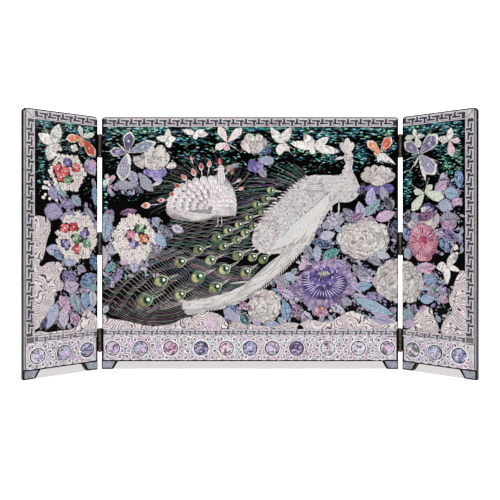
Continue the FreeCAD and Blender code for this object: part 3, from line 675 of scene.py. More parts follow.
leaf_shells = {
    "p": cut_shell("purple_leaf_shell", [(0.015, 0.01, 0.03), (0.18, 0.13, 0.32), (0.40, 0.32, 0.56),
        (0.10, 0.16, 0.28), (0.56, 0.38, 0.58), (0.14, 0.24, 0.36), (0.46, 0.44, 0.56)], 0.0030,
        lines=("barbs", 8), dark=0.2),
    "b": cut_shell("blue_leaf_shell", [(0.012, 0.02, 0.045), (0.13, 0.20, 0.40), (0.24, 0.46, 0.62),
        (0.20, 0.15, 0.34), (0.42, 0.56, 0.62), (0.10, 0.32, 0.36), (0.44, 0.40, 0.58)], 0.0030,
        lines=("barbs", 8), dark=0.2),
    "t": cut_shell("teal_leaf_shell", [(0.006, 0.025, 0.03), (0.04, 0.20, 0.21), (0.22, 0.50, 0.47),
        (0.10, 0.14, 0.26), (0.40, 0.52, 0.48), (0.26, 0.24, 0.40)], 0.0030, lines=("barbs", 8), dark=0.2),
    "l": cut_shell("lilac_leaf_shell", [(0.09, 0.07, 0.12), (0.48, 0.41, 0.55), (0.68, 0.64, 0.70),
        (0.24, 0.20, 0.30), (0.56, 0.42, 0.50), (0.42, 0.50, 0.56)], 0.0036, lines=("barbs", 8), dark=0.2),
    "k": cut_shell("pink_leaf_shell", [(0.10, 0.04, 0.10), (0.58, 0.30, 0.50), (0.74, 0.58, 0.66),
        (0.26, 0.20, 0.36), (0.60, 0.40, 0.52), (0.40, 0.38, 0.52)], 0.0030, lines=("barbs", 8), dark=0.22),
    "g": cut_shell("grey_leaf_shell", [(0.02, 0.02, 0.028), (0.20, 0.20, 0.26), (0.42, 0.42, 0.48),
        (0.14, 0.11, 0.20), (0.48, 0.44, 0.52), (0.18, 0.24, 0.28)], 0.0030, lines=("barbs", 8), dark=0.2),
}
leaf_plan = {
    "centre": [
        (-188, 206, -190, 166, 16, "b"), (-180, 206, -186, 186, 10, "g"), (-172, 203, -146, 208, 9, "k"),
        (-192, 162, -192, 128, 12, "l"), (-176, 140, -189, 126, 11, "t"), (-167, 132, -178, 111, 10, "p"),
        (-152, 142, -151, 125, 11, "p"), (-172, 139, -155, 141, 8, "k"), (-190, 122, -184, 108, 8, "t"),
        (-187, 152, -170, 161, 11, "l"), (-184, 168, -176, 152, 10, "g"), (-121, 190, -99, 169, 12, "g"),
        (-103, 187, -86, 179, 10, "l"), (-128, 177, -108, 160, 14, "b"), (-128, 199, -119, 184, 9, "t"),
        (-132, 168, -118, 148, 9, "l"), (-128, 188, -116, 196, 7, "g"),
        (-180, 241, -146, 240, 13, "g"), (-157, 260, -149, 241, 11, "p"), (-148, 240, -141, 230, 9, "p"),
        (-193, 240, -176, 252, 9, "l"), (-144, 250, -126, 232, 12, "g"), (-186, 84, -192, 72, 8, "l"),
        (-30, 262, -12, 270, 6, "g"), (12, 262, 22, 250, 9, "g"),
        (139, 190, 121, 212, 16, "g"), (147, 194, 142, 221, 14, "p"), (132, 194, 152, 206, 10, "k"),
        (150, 199, 172, 224, 12, "t"), (163, 195, 192, 206, 15, "k"), (186, 208, 176, 226, 10, "g"),
        (180, 186, 193, 172, 12, "p"), (192, 196, 184, 180, 8, "b"), (93, 186, 126, 197, 14, "g"),
        (100, 200, 116, 186, 10, "l"), (90, 172, 113, 178, 13, "l"), (80, 168, 110, 160, 11, "b"),
        (96, 184, 84, 176, 9, "p"), (110, 188, 122, 178, 8, "b"),
        (88, 163, 88, 138, 10, "b"), (94, 146, 120, 157, 13, "t"), (66, 149, 82, 135, 12, "l"),
        (72, 162, 80, 146, 11, "g"), (74, 142, 64, 128, 10, "k"), (110, 142, 128, 134, 10, "p"),
        (134, 134, 158, 120, 14, "g"), (136, 106, 162, 111, 13, "b"), (134, 94, 192, 69, 14, "b"),
        (134, 98, 158, 88, 9, "k"), (150, 97, 178, 92, 12, "p"), (158, 147, 172, 135, 12, "g"),
        (164, 152, 184, 146, 10, "l"), (140, 120, 166, 116, 10, "l"), (132, 116, 146, 100, 10, "k"),
        (30, 121, 54, 107, 12, "g"), (44, 125, 62, 116, 12, "b"), (40, 104, 60, 91, 12, "k"),
        (36, 114, 48, 96, 9, "k"), (46, 90, 48, 62, 14, "b"), (58, 88, 64, 62, 13, "k"),
        (54, 76, 66, 70, 9, "l"), (-36, 79, -12, 60, 13, "p"), (-16, 88, 4, 76, 10, "k"),
        (-12, 73, -2, 57, 12, "t"), (-28, 84, -18, 74, 8, "b"), (-24, 70, -8, 64, 9, "l"),
        (80, 78, 104, 71, 11, "k"), (104, 85, 126, 73, 12, "l"), (64, 75, 84, 62, 12, "l"),
        (150, 88, 188, 60, 13, "k"), (156, 68, 190, 60, 10, "p"), (66, 100, 56, 84, 9, "l"),
        (120, 92, 134, 84, 9, "g"), (-4, 92, 8, 104, 6, "g"), (62, 132, 52, 122, 8, "g"),
        (18, 60, 40, 58, 8, "b"), (2, 62, 16, 60, 7, "k"), (36, 68, 46, 58, 8, "t"),
    ],
    "left": [
        (-17, 273, -4, 252, 14, "l"), (-10, 274, -3, 262, 8, "k"), (-57, 239, -43, 223, 12, "t"),
        (-73, 207, -47, 202, 21, "p"), (-66, 206, -56, 196, 11, "b"), (-53, 214, -27, 216, 14, "p"),
        (-36, 226, -24, 212, 10, "t"), (-6, 242, -3, 210, 9, "b"), (-20, 212, -4, 192, 10, "g"),
        (-64, 236, -58, 218, 10, "p"), (-71, 159, -46, 154, 15, "p"), (-60, 160, -50, 142, 10, "b"),
        (-48, 145, -27, 142, 16, "b"), (-50, 129, -29, 115, 17, "p"), (-46, 106, -25, 113, 16, "k"),
        (-25, 111, 0, 123, 18, "b"), (-9, 153, -3, 128, 12, "b"), (-53, 101, -37, 74, 13, "k"),
        (-37, 103, -25, 75, 13, "t"), (-19, 105, -18, 78, 13, "b"), (-9, 105, -6, 80, 12, "l"),
        (-55, 92, -70, 57, 15, "b"), (-68, 74, -78, 58, 9, "p"), (-48, 85, -46, 56, 14, "l"),
        (-36, 76, -26, 58, 12, "k"), (-56, 70, -44, 56, 10, "g"), (-30, 136, -16, 128, 10, "g"),
        (-12, 112, -2, 102, 9, "t"), (-8, 250, -4, 234, 6, "g"), (-22, 98, -10, 90, 8, "k"),
        (-44, 118, -36, 104, 9, "l"), (-4, 196, -2, 176, 5, "p"), (-24, 84, -12, 74, 9, "p"),
    ],
    "right": [
        (44, 231, 65, 243, 13, "k"), (75, 258, 77, 231, 12, "b"), (56, 230, 78, 224, 16, "b"),
        (50, 216, 69, 207, 15, "b"), (66, 214, 81, 220, 10, "k"), (27, 212, 46, 209, 12, "p"),
        (50, 194, 78, 196, 17, "g"), (52, 190, 72, 184, 11, "k"), (18, 197, 48, 202, 13, "k"),
        (14, 204, 24, 188, 9, "t"), (2, 199, 15, 196, 13, "g"), (3, 187, 8, 166, 10, "b"),
        (50, 183, 76, 168, 14, "p"), (50, 170, 66, 155, 12, "b"), (18, 132, 49, 136, 14, "k"),
        (28, 122, 50, 117, 13, "b"), (44, 108, 59, 106, 12, "t"), (24, 92, 47, 96, 13, "b"),
        (50, 98, 63, 92, 10, "k"), (2, 80, 18, 64, 12, "t"), (48, 178, 60, 176, 9, "k"),
        (30, 128, 44, 126, 9, "p"), (56, 112, 52, 98, 8, "g"), (34, 86, 24, 76, 8, "k"),
        (4, 158, 12, 148, 9, "b"), (60, 242, 70, 232, 9, "p"), (12, 76, 20, 88, 8, "l"),
        (4, 64, 20, 58, 9, "k"), (40, 100, 34, 90, 8, "l"),
    ],
}
undergrowth = {
    "left": [(-60, -4, 56, 118, 46), (-50, -24, 118, 150, 12), (-22, -3, 118, 215, 16),
        (-62, -24, 196, 226, 14)],
    "centre": [(28, 192, 54, 100, 90), (60, 192, 100, 150, 62), (90, 192, 150, 204, 50),
        (150, 192, 204, 226, 12), (-32, 30, 54, 84, 34), (28, 66, 96, 122, 12), (-192, -178, 108, 206, 26),
        (-134, -112, 150, 196, 14), (-186, -146, 228, 244, 8), (-186, -120, 120, 144, 12)],
    "right": [(2, 20, 54, 84, 12), (20, 82, 54, 112, 24), (40, 80, 150, 212, 30), (18, 60, 92, 140, 26),
        (2, 20, 146, 210, 16), (50, 80, 212, 250, 14)],
}
for panel, plan in leaf_plan.items():
    random.seed(4)
    leaves = []
    for low_x, high_x, low_z, high_z, count in undergrowth[panel]:
        for k in range(int(1.9 * count)):
            x, z = random.uniform(low_x, high_x), random.uniform(low_z, high_z)
            lean, half = random.random() * pi, random.uniform(2.4, 5.4)
            z = max(z, 53 + abs(sin(lean)) * half)
            lay(leaves, leaf, *through(x, z, lean, half), half * random.uniform(0.8, 1.3), 0.4,
                leaf_shells[random.choice("ppbbtllkkkggg")], 0.05 * (k % 4))
            for crumb in range(2):
                x, z = random.uniform(low_x, high_x), random.uniform(max(low_z, 54), high_z)
                lean, half = random.random() * pi, random.uniform(0.8, 2.6)
                lay(leaves, slip, *through(x, z, lean, half), random.uniform(0.7, 1.5), 0.3,
                    leaf_shells[random.choice("pbtllkkg")], 0.45)
    for k, (x0, z0, x1, z1, width, tint) in enumerate(plan):
        lift = 0.25 + 0.09 * (k % 4)
        if k % 3 == 0:
            lay(leaves, leaf, (x0, z0), (x1, z1), width * 1.1 + 0.8, 0.45, leaf_shells["l"], lift)
        lay(leaves, leaf, (0.96 * x0 + 0.04 * x1, 0.96 * z0 + 0.04 * z1),
            (0.96 * x1 + 0.04 * x0, 0.96 * z1 + 0.04 * z0), width, 0.6, leaf_shells[tint], lift)
        lay(leaves, slip, (0.9 * x0 + 0.1 * x1, 0.9 * z0 + 0.1 * z1),
            (0.9 * x1 + 0.1 * x0, 0.9 * z1 + 0.1 * z0), 0.75, 0.12, leaf_shells["l"] if k % 2 else seam,
            lift + 0.56)
    fit(leaves, panel + "_leaf_shells", panel, "purple_abalone", panel + "_leaves")


# ================================================================ the frieze
# A pale band of shell with scrolls laid over it, and roundels of purple and pink shell let into
# it, each a shallow dome in a pale ring. A plain strip runs above and below.
bpy.ops.object.select_all(action="DESELECT")
bpy.ops.mesh.primitive_torus_add(major_segments=28, minor_segments=6, major_radius=0.455,
    minor_radius=0.045, rotation=(radians(90), 0, 0))
ring = bpy.context.object
ring.location = (0.5, 0, 0)
bpy.ops.object.transform_apply(location=True, rotation=True, scale=True)
bpy.ops.object.mode_set(mode="EDIT")
bpy.ops.mesh.select_all(action="SELECT")
bpy.ops.transform.resize(value=(1, 18, 1), center_override=(0, 0, 0))
finished_blank(ring, "ring_blank")
ring.data.polygons.foreach_set("material_index", [0] * len(ring.data.polygons))

dome = cut_blank("dome_blank", 20, [], 0.4, [(0.05, 0.25), (0.12, 0.25), (0.14, 0.1)])
for face in dome.data.polygons:
    if hypot(face.center.x - 0.5, face.center.z) < 0.46:
        face.material_index = 0


def button(parts, x, z, radius, *how):
    """Lays a dome round a place. What follows its radius along is as lay takes it."""
    lay(parts, dome, (x - radius, z), (x + radius, z), *how)


roundel_shells = {
    "v": cut_shell("violet_roundel_shell", [(0.10, 0.06, 0.16), (0.38, 0.20, 0.50), (0.64, 0.44, 0.70),
        (0.20, 0.32, 0.40), (0.74, 0.46, 0.62)], 0.0045, 0.2, lines=("swirls", 5), dark=0.25),
    "r": cut_shell("rose_roundel_shell", [(0.20, 0.10, 0.18), (0.68, 0.32, 0.48), (0.68, 0.58, 0.64),
        (0.28, 0.50, 0.46), (0.74, 0.44, 0.56)], 0.0045, 0.2, lines=("swirls", 5), dark=0.25),
    "b": cut_shell("blue_roundel_shell", [(0.08, 0.08, 0.16), (0.34, 0.28, 0.54), (0.26, 0.54, 0.58),
        (0.60, 0.38, 0.60), (0.60, 0.64, 0.66)], 0.0045, 0.2, lines=("swirls", 5), dark=0.25),
}
band_shell = cut_shell("pale_band_shell", [(0.22, 0.15, 0.24), (0.58, 0.48, 0.52), (0.36, 0.52, 0.48),
    (0.62, 0.34, 0.48), (0.30, 0.24, 0.46), (0.62, 0.56, 0.42)], 0.0055, spread=0)
scroll_shell = cut_shell("scroll_shell", [(0.66, 0.60, 0.63), (0.80, 0.72, 0.75), (0.72, 0.77, 0.74),
    (0.80, 0.68, 0.72), (0.66, 0.70, 0.74)], 0.01, grain_and_glint=1.0)
bead_white = cut_shell("bead_shell", [(0.66, 0.66, 0.62), (0.72, 0.72, 0.70)], 0.01)
pale_shell = cut_shell("pale_ring_shell", [(0.56, 0.50, 0.53), (0.70, 0.63, 0.66)], 0.02, grain_and_glint=1.0)
band_low, band_middle, band_high = 12, 27, 42
roundel_plan = {
    "left": (-94.9, -2.7, [-80, -46, -15], "bvb"),
    "centre": (-191.8, 191.8, [-180, -143, -104, -64, -31, 0, 29, 61, 102, 142, 180], "vvrbrbvvrbv"),
    "right": (2.7, 94.9, [15, 45, 76], "rbb"),
}
for panel, (low_x, high_x, places, tints) in roundel_plan.items():
    random.seed(5)
    rounds = []
    band = [(low_x, band_low), (low_x, band_high), (high_x, band_high), (high_x, band_low)]
    scrolls = [plate(band, 0.4, band_shell, edge=0.05)]
    for point in scrolls[0].data.vertices:
        point.co.x = min(high_x, max(low_x, point.co.x))
        point.co.z = band_high if point.co.z > band_middle else band_low
    for x, tint in zip(places, tints):
        button(rounds, x, band_middle, 9.6, 19.2, 1.1, roundel_shells[tint])
        button(rounds, x, band_middle, 12.2, 24.0, 0.2, soft_seam, 0.25, soft_seam)
        lay(rounds, ring, (x - 11.5, band_middle), (x + 11.5, band_middle), 23.0, 0.75, bead_white)
        for k in range(5):
            turn = 2 * pi * k / 5 + 0.4 * len(rounds)
            lay(rounds, slip, (x + 2.2 * cos(turn), band_middle + 2.2 * sin(turn)),
                (x + 7 * cos(turn + 0.3), band_middle + 7 * sin(turn + 0.3)), 2.6, 0.3,
                roundel_shells["vrb"[k % 3]], 0.85)
    for row in range(4):
        for k in range(int((high_x - low_x) / 8.6)):
            x, z = low_x + 8.6 * (k + 0.55 + 0.35 * (row % 2)), 15.6 + 7.6 * row
            if min(hypot(x - r, z - band_middle) for r in places) < 12.4 or x > high_x - 3:
                continue
            size = random.uniform(3.4, 4.2)
            start = random.random() * 2 * pi
            way = random.choice((-1, 1))
            for j in range(7):
                turn = start + way * j * 0.75
                grow = size * (0.42 + 0.10 * j)
                turn_on = turn + way * 0.9
                grow_on = size * (0.42 + 0.10 * (j + 1.1))
                ends = ((x + grow * cos(turn), z + grow * sin(turn)),
                    (x + grow_on * cos(turn_on), z + grow_on * sin(turn_on)))
                lay(scrolls, slip, *ends, 3.5, 0.2, seam, 0.3, seam)
                lay(scrolls, slip, *ends, 2.1, 0.35, scroll_shell, 0.42, scroll_shell)
            button(scrolls, x, z, 0.8, 1.6, 0.15, seam, 0.36, seam)
    for k in range(int((high_x - low_x) * 0.9)):
        x, z = random.uniform(low_x + 2, high_x - 3), random.uniform(14, 40)
        if min(hypot(x - r, z - band_middle) for r in places) > 11.2:
            lean, half = random.random() * pi, random.uniform(0.8, 2.6)
            lay(scrolls, slip, *through(x, z, lean, half), 1.15, 0.1,
                random.choice((seam, seam, roundel_shells["v"], scroll_shell)), 0.5, seam)
    for z in (12.3, 42.2):
        for k in range(int((high_x - low_x) / 12)):
            x = low_x + 12 * k
            lay(scrolls, slip, (x - 0.8, z), (min(x + 12.8, high_x), z), 1.5, 0.35, pale_shell, 0.3)
    for x in places:
        for k in range(7):
            z = 20.4 + 2.2 * k
            half = (73 - (z - band_middle) ** 2) ** 0.5 * 0.8
            lay(rounds, slip, (x - half, z + random.uniform(-1, 1)),
                (x + half * random.uniform(0.1, 0.9), z + random.uniform(-1, 1)), 0.9, 0.12,
                random.choice((pale_shell, seam, roundel_shells["r"])), 1.0)
    fit(rounds, panel + "_frieze_rounds", panel, "purple_abalone", panel + "_frieze_roundels")
    fit(scrolls, panel + "_frieze_scrolls", panel, "lilac_shell", panel + "_frieze_scrollwork")


# ================================================================ the grounds of the fret
# Under the hooks lies a thin darker strip, between two hair lines of white shell.
ground_shell = cut_shell("fret_ground_shell", [(0.006, 0.005, 0.008), (0.028, 0.020, 0.032),
    (0.018, 0.024, 0.030), (0.055, 0.034, 0.052)], 0.006, spread=0)
lower_ground = cut_shell("lower_ground_shell", [(0.035, 0.028, 0.036), (0.11, 0.085, 0.105),
    (0.08, 0.11, 0.11), (0.17, 0.11, 0.16)], 0.006, spread=0)


def strip(low, high, finish, thick, lift=0.0):
    """A thin flat strip between two corners."""
    bpy.ops.object.select_all(action="DESELECT")
    middle = ((low[0] + high[0]) / 2, sunk - lift - thick / 2, (low[1] + high[1]) / 2)
    bpy.ops.mesh.primitive_cube_add(size=1, location=middle)
    bpy.context.object.scale = (high[0] - low[0], thick, high[1] - low[1])
    bpy.ops.object.transform_apply(location=True, rotation=False, scale=True)
    bpy.context.object.data.materials.append(finish)
    bpy.context.object.select_set(False)
    return bpy.context.object


for panel, low_x, high_x in (("left", -94.9, -1.4), ("centre", -191.8, 191.8), ("right", 1.4, 94.9)):
    strips = [
        strip((low_x, 43.4), (high_x, 51.4), lower_ground, 0.2),
        strip((low_x, 42.9), (high_x, 43.7), pale_shell, 0.6),
        strip((low_x, 51.0), (high_x, 51.8), pale_shell, 0.6),
    ]
    if panel != "centre":
        inner, outer = (83.8, 94.8) if panel == "right" else (-94.8, -83.8)
        strips.append(strip((inner, 51.8), (outer, 317.6), ground_shell, 0.2))
        for x in (inner, outer - 0.7):
            strips.append(strip((x, 44.0), (x + 0.7, 327.0), pale_shell, 0.6, 0.03))
        edge = 96.2 if panel == "right" else -97.0
        strips.append(strip((edge, 12), (edge + 0.8, 326), pale_shell, 0.3))
    strips.append(strip((low_x, 317.8), (high_x, 327.6), ground_shell, 0.2))
    strips.append(strip((low_x, 317.2), (high_x, 318.0), pale_shell, 0.6))
    strips.append(strip((low_x, 327.4), (high_x, 328.2), pale_shell, 0.6))
    fit(strips, panel + "_frieze_grounds", panel, "lilac_shell")


# ================================================================ hydrangeas
# Round heads of little four-petalled florets of white shell, packed close, with a few larger
# florets of dyed shell: red, orange, green and purple.
petal = cut_blank("petal_blank", 12, [(0.067, 0.7), (0.25, 0.85), (0.5, 1.0), (0.75, 1.12), (0.933, 1.2)],
    0.6, [(0.026, 0.28), (0.12, 0.12)])

square = cut_blank("square_petal_blank", 8, [(0.146, 1.1), (0.854, 1.2)], 0.6, [(0.06, 0.4)])

white_petal = cut_shell("white_petal_shell", [(0.46, 0.42, 0.39), (0.66, 0.61, 0.57), (0.58, 0.61, 0.53),
    (0.66, 0.56, 0.56)], 0.012, spread=0.9, grain_and_glint=1.2)
floret_shells = {
    "w": white_petal,
    "r": cut_shell("red_floret_shell", [(0.26, 0.01, 0.015), (0.52, 0.06, 0.07), (0.60, 0.26, 0.26)],
        0.004),
    "o": cut_shell("orange_floret_shell", [(0.24, 0.04, 0.02), (0.46, 0.13, 0.06), (0.60, 0.32, 0.20)],
        0.004),
    "g": cut_shell("green_floret_shell", [(0.03, 0.09, 0.04), (0.09, 0.22, 0.11), (0.36, 0.46, 0.32)],
        0.004),
    "p": cut_shell("purple_floret_shell", [(0.04, 0.025, 0.11), (0.15, 0.10, 0.30), (0.38, 0.32, 0.52)],
        0.004),
    "k": cut_shell("pink_floret_shell", [(0.28, 0.05, 0.12), (0.46, 0.16, 0.25), (0.60, 0.40, 0.46)],
        0.004),
}


def floret(parts, x, z, reach, tint, lift=0.0):
    """Four square petals round a pale bead."""
    turn = random.random() * pi
    for k in range(4):
        at = turn + k * pi / 2
        lay(parts, square, (x + 0.12 * reach * cos(at), z + 0.12 * reach * sin(at)),
            (x + reach * cos(at), z + reach * sin(at)), 0.98 * reach, 0.85, floret_shells[tint], lift)
    button(parts, x, z, 0.2 * reach, 0.4 * reach, 0.45, pale_shell, lift + 0.65)


def hydrangea(parts, x, z, radius_x, radius_z, coloured):
    """A full head of white florets, less where the coloured ones sit."""
    button(parts, x, z, radius_x, 2 * radius_z, 0.3, soft_seam)
    for row in range(-7, 8):
        for column in range(-7, 8):
            at_x, at_z = x + 5.7 * (column + 0.5 * (row % 2)), z + 5.0 * row
            away = hypot((at_x - x) / radius_x, (at_z - z) / radius_z)
            if away > 0.99 or any(hypot(at_x - cx, at_z - cz) < 6.4 for cx, cz, _ in coloured):
                continue
            floret(parts, at_x + random.uniform(-0.5, 0.5), at_z + random.uniform(-0.5, 0.5), 3.5, "w",
                0.1 + 0.1 * (column % 3))
    for at_x, at_z, tint in coloured:
        button(parts, at_x, at_z, 6.6, 13.2, 0.3, seam, 0.6, seam)
        floret(parts, at_x, at_z, 6.6, tint, 0.55)


random.seed(7)
heads = []
hydrangea(heads, -152, 170, 28, 31, [(-156, 176, "k"), (-144, 184, "g"), (-139, 171, "o"),
    (-152, 163, "p")])
fit(heads, "centre_hydrangea_head", "centre", "white_shell", "centre_hydrangea")
wing_heads = []
hydrangea(wing_heads, -42, 254, 25, 25, [(-42, 267, "p"), (-31, 261, "r"), (-45, 256, "r"), (-55, 258, "r"),
    (-51, 248, "r"), (-42, 245, "g")])
hydrangea(wing_heads, -29, 173, 27, 31, [(-46, 184, "r"), (-34, 186, "r"), (-19, 177, "p"), (-30, 171, "g"),
    (-45, 164, "p"), (-30, 158, "r"), (-16, 165, "g")])
for k in range(22):
    at, away = 2.4 * k, 3.0 * k ** 0.5
    x, z = -70 + 0.62 * away * cos(at) + 0.25 * k, 240 + away * sin(at) - 1.1 * k
    button(wing_heads, x, z, 2.1, 4.2, 0.5, white_petal, 0.3)
floret(wing_heads, -33, 286, 5.5, "w", 0.3)
floret(wing_heads, -12, 262, 6, "p", 0.3)
lay(wing_heads, slip, (-71, 250), (-40, 214), 2.2, 0.7, leaf_shells["p"], 0.2)
fit(wing_heads, "left_hydrangea_heads", "left", "white_shell", "left_flowers")


# ================================================================ peonies
# Open flowers built from rings of broad petals, each ring lifted onto the one outside it. Most
# are white shell; one is purple and one red, with narrow dark petals inlaid in their hearts.
def petal_ring(parts, x, z, radius_x, radius_z, near_end, far_end, count, width, finish, lift, rise=0.6,
        turn=0.0, blank=None):
    """A ring of petals that point outwards. The ends are shares of the oval's radii."""
    for k in range(count):
        at = turn + 2 * pi * k / count + random.uniform(-0.08, 0.08)
        reach = far_end * random.uniform(0.93, 1.04)
        lay(parts, blank or petal, (x + near_end * radius_x * cos(at), z + near_end * radius_z * sin(at)),
            (x + reach * radius_x * cos(at), z + reach * radius_z * sin(at)),
            width * random.uniform(0.92, 1.08), rise, finish, lift)


peony_white = cut_shell("white_peony_shell", [(0.41, 0.37, 0.36), (0.59, 0.54, 0.52), (0.52, 0.54, 0.49),
    (0.49, 0.41, 0.41)], 0.009, lines=("swirls", 7), dark=0.4, spread=0.7, grain_and_glint=1.0)


def white_peony(parts, x, z, radius_x, radius_z):
    """Four rings of petals and a tuft, over a round of shell."""
    size = (radius_x + radius_z) / 2
    button(parts, x, z, 0.9 * radius_x, 1.8 * radius_z, 0.35, peony_white, 0.0, soft_seam)
    for near_end, far_end, count, width, lift, rise, turn in ((0.44, 1.10, 12, 0.64, 0.0, 0.55, 0.0),
            (0.30, 0.90, 11, 0.54, 0.28, 0.5, 0.3), (0.14, 0.68, 9, 0.46, 0.52, 0.5, 0.1),
            (0.04, 0.45, 7, 0.36, 0.76, 0.45, 0.5), (0.0, 0.2, 5, 0.2, 0.98, 0.4, 0.0)):
        petal_ring(parts, x, z, radius_x, radius_z, near_end, far_end, count, width * size, peony_white,
            lift, rise, turn)


random.seed(9)
blooms = []
white_peony(blooms, 149, 170, 33, 26)
white_peony(blooms, 19, 82, 21, 21)
white_peony(blooms, 196, 115, 32, 27)
mauve = cut_shell("mauve_petal_shell", [(0.07, 0.04, 0.12), (0.18, 0.11, 0.25), (0.36, 0.27, 0.40)], 0.009,
    lines=("along", 3), dark=0.55, grain_and_glint=1.0)
indigo = cut_shell("indigo_petal_shell", [(0.005, 0.003, 0.03), (0.015, 0.010, 0.08), (0.06, 0.035, 0.18)],
    0.006)
orchid = cut_shell("orchid_petal_shell", [(0.03, 0.015, 0.11), (0.09, 0.05, 0.22), (0.26, 0.17, 0.38)],
    0.005)
cream = cut_shell("cream_shell", [(0.38, 0.34, 0.18), (0.58, 0.54, 0.34), (0.62, 0.58, 0.44)], 0.004)
vein_shell = cut_shell("vein_shell", [(0.46, 0.38, 0.56), (0.64, 0.58, 0.70)], 0.006, grain_and_glint=1.0)
for x0, z0, x1, z1, width in ((88, 108, 63, 122, 24), (84, 128, 68, 142, 17), (86, 106, 50, 100, 24),
        (88, 100, 76, 80, 25), (96, 98, 101, 79, 25), (106, 100, 124, 86, 25), (108, 108, 140, 108, 24),
        (110, 116, 135, 124, 22), (106, 122, 131, 138, 20), (100, 124, 108, 146, 24),
        (92, 124, 88, 142, 20)):
    lay(blooms, petal, (x0, z0), (x1, z1), width, 0.6, mauve)
for k in range(17):
    at = radians(158 + 224 * (k + 0.5) / 17)
    lay(blooms, petal, (97 + 8 * cos(at), 114 + 6 * sin(at)), (97 + 31 * cos(at), 113 + 23 * sin(at)), 9.5,
        0.45, indigo, 0.35, indigo)
for k in range(24):
    at = radians(150 + 240 * (k + 0.5) / 24)
    near_end, far_end = random.uniform(0.34, 0.5), random.uniform(0.78, 1.02)
    lay(blooms, slip, (97 + near_end * 31 * cos(at), 113 + near_end * 23 * sin(at)),
        (97 + far_end * 31 * cos(at + 0.06), 113 + far_end * 23 * sin(at + 0.06)), 1.15, 0.25, vein_shell,
        0.78, vein_shell)
petal_ring(blooms, 96, 122, 21, 14, 0.35, 1.02, 15, 7.0, vein_shell, 0.62, 0.4)
petal_ring(blooms, 96, 122, 20.6, 13.6, 0.35, 1.0, 15, 6.9, orchid, 0.74, 0.4)
petal_ring(blooms, 96, 123, 15, 9.5, 0.3, 1.0, 13, 4.6, vein_shell, 0.82, 0.35)
petal_ring(blooms, 96, 123, 14.6, 9.2, 0.3, 0.99, 13, 4.3, indigo, 0.94, 0.3)
lay(blooms, dome, (86, 125), (107, 125), 9.0, 0.35, indigo, 0.98, indigo)
for k in range(26):
    at, away = k * 2.4, 0.95 * (k / 26) ** 0.5
    x, z = 97 + 8.6 * away * cos(at), 125 + 3.3 * away * sin(at)
    button(blooms, x, z, 0.8, 1.6, 0.35, cream, 1.2)
cloud_pink = cut_shell("pink_cloud_shell", [(0.46, 0.34, 0.46), (0.60, 0.50, 0.56), (0.58, 0.44, 0.54)],
    0.01, lines=("along", 3), dark=0.4)
petal_ring(blooms, -52, 61, 20, 12, 0.4, 1.0, 11, 10, cloud_pink, 0.3, 0.5)
petal_ring(blooms, -52, 61, 18, 10, 0.0, 0.6, 7, 8, cloud_pink, 0.55, 0.5)
for x, z in ((86, 76), (93, 79), (99, 74), (91, 71)):
    floret(blooms, x, z, 3.6, "o" if x == 93 else "k", 0.75)
for x, z in ((148, 132), (156, 128), (-28, 80)):
    floret(blooms, x, z, 3.6, "p", 0.75)
fit(blooms, "centre_peony_petals", "centre", "white_shell", "centre_peonies")

wing_blooms = []
white_peony(wing_blooms, -3, 114, 32, 27)
rose = cut_shell("rose_petal_shell", [(0.26, 0.06, 0.11), (0.46, 0.16, 0.22), (0.58, 0.34, 0.37)], 0.008,
    lines=("along", 4), dark=0.5)
crimson = cut_shell("crimson_petal_shell", [(0.20, 0.02, 0.05), (0.42, 0.07, 0.12), (0.54, 0.18, 0.22)],
    0.006, lines=("along", 2), dark=0.6)
blush = cut_shell("blush_petal_shell", [(0.46, 0.36, 0.36), (0.58, 0.50, 0.48), (0.46, 0.50, 0.42)], 0.01,
    lines=("along", 4), dark=0.7)
for x0, x1, width in ((14, 10, 13), (24, 22, 14), (34, 36, 14), (42, 47, 13)):
    lay(wing_blooms, petal, (x0, 182), (x1, 204), width, 0.5, blush)
petal_ring(wing_blooms, 29, 166, 19, 24, 0.4, 1.06, 11, 15, rose, 0.1, 0.5)
petal_ring(wing_blooms, 29, 166, 18, 23, 0.3, 0.84, 13, 8, crimson, 0.4, 0.4, 0.2)
petal_ring(wing_blooms, 29, 167, 19, 24, 0.30, 0.96, 30, 0.8, vein_shell, 0.84, 0.15, 0.2, slip)
petal_ring(wing_blooms, 29, 167, 17, 21, 0.12, 0.56, 10, 8, rose, 0.62, 0.4)
petal_ring(wing_blooms, 29, 167, 16, 20, 0.0, 0.36, 7, 7, crimson, 0.86, 0.4)
for x, z, tint in ((35, 211, "p"), (30, 208, "w"), (41, 208, "p"), (38, 128, "k"), (52, 110, "p"),
        (47, 106, "g"), (57, 108, "p"), (9, 178, "p"), (72, 160, "w")):
    floret(wing_blooms, x, z, 4.0, tint, 0.6)
fit(wing_blooms, "right_peony_petals", "right", "white_shell", "right_flowers")


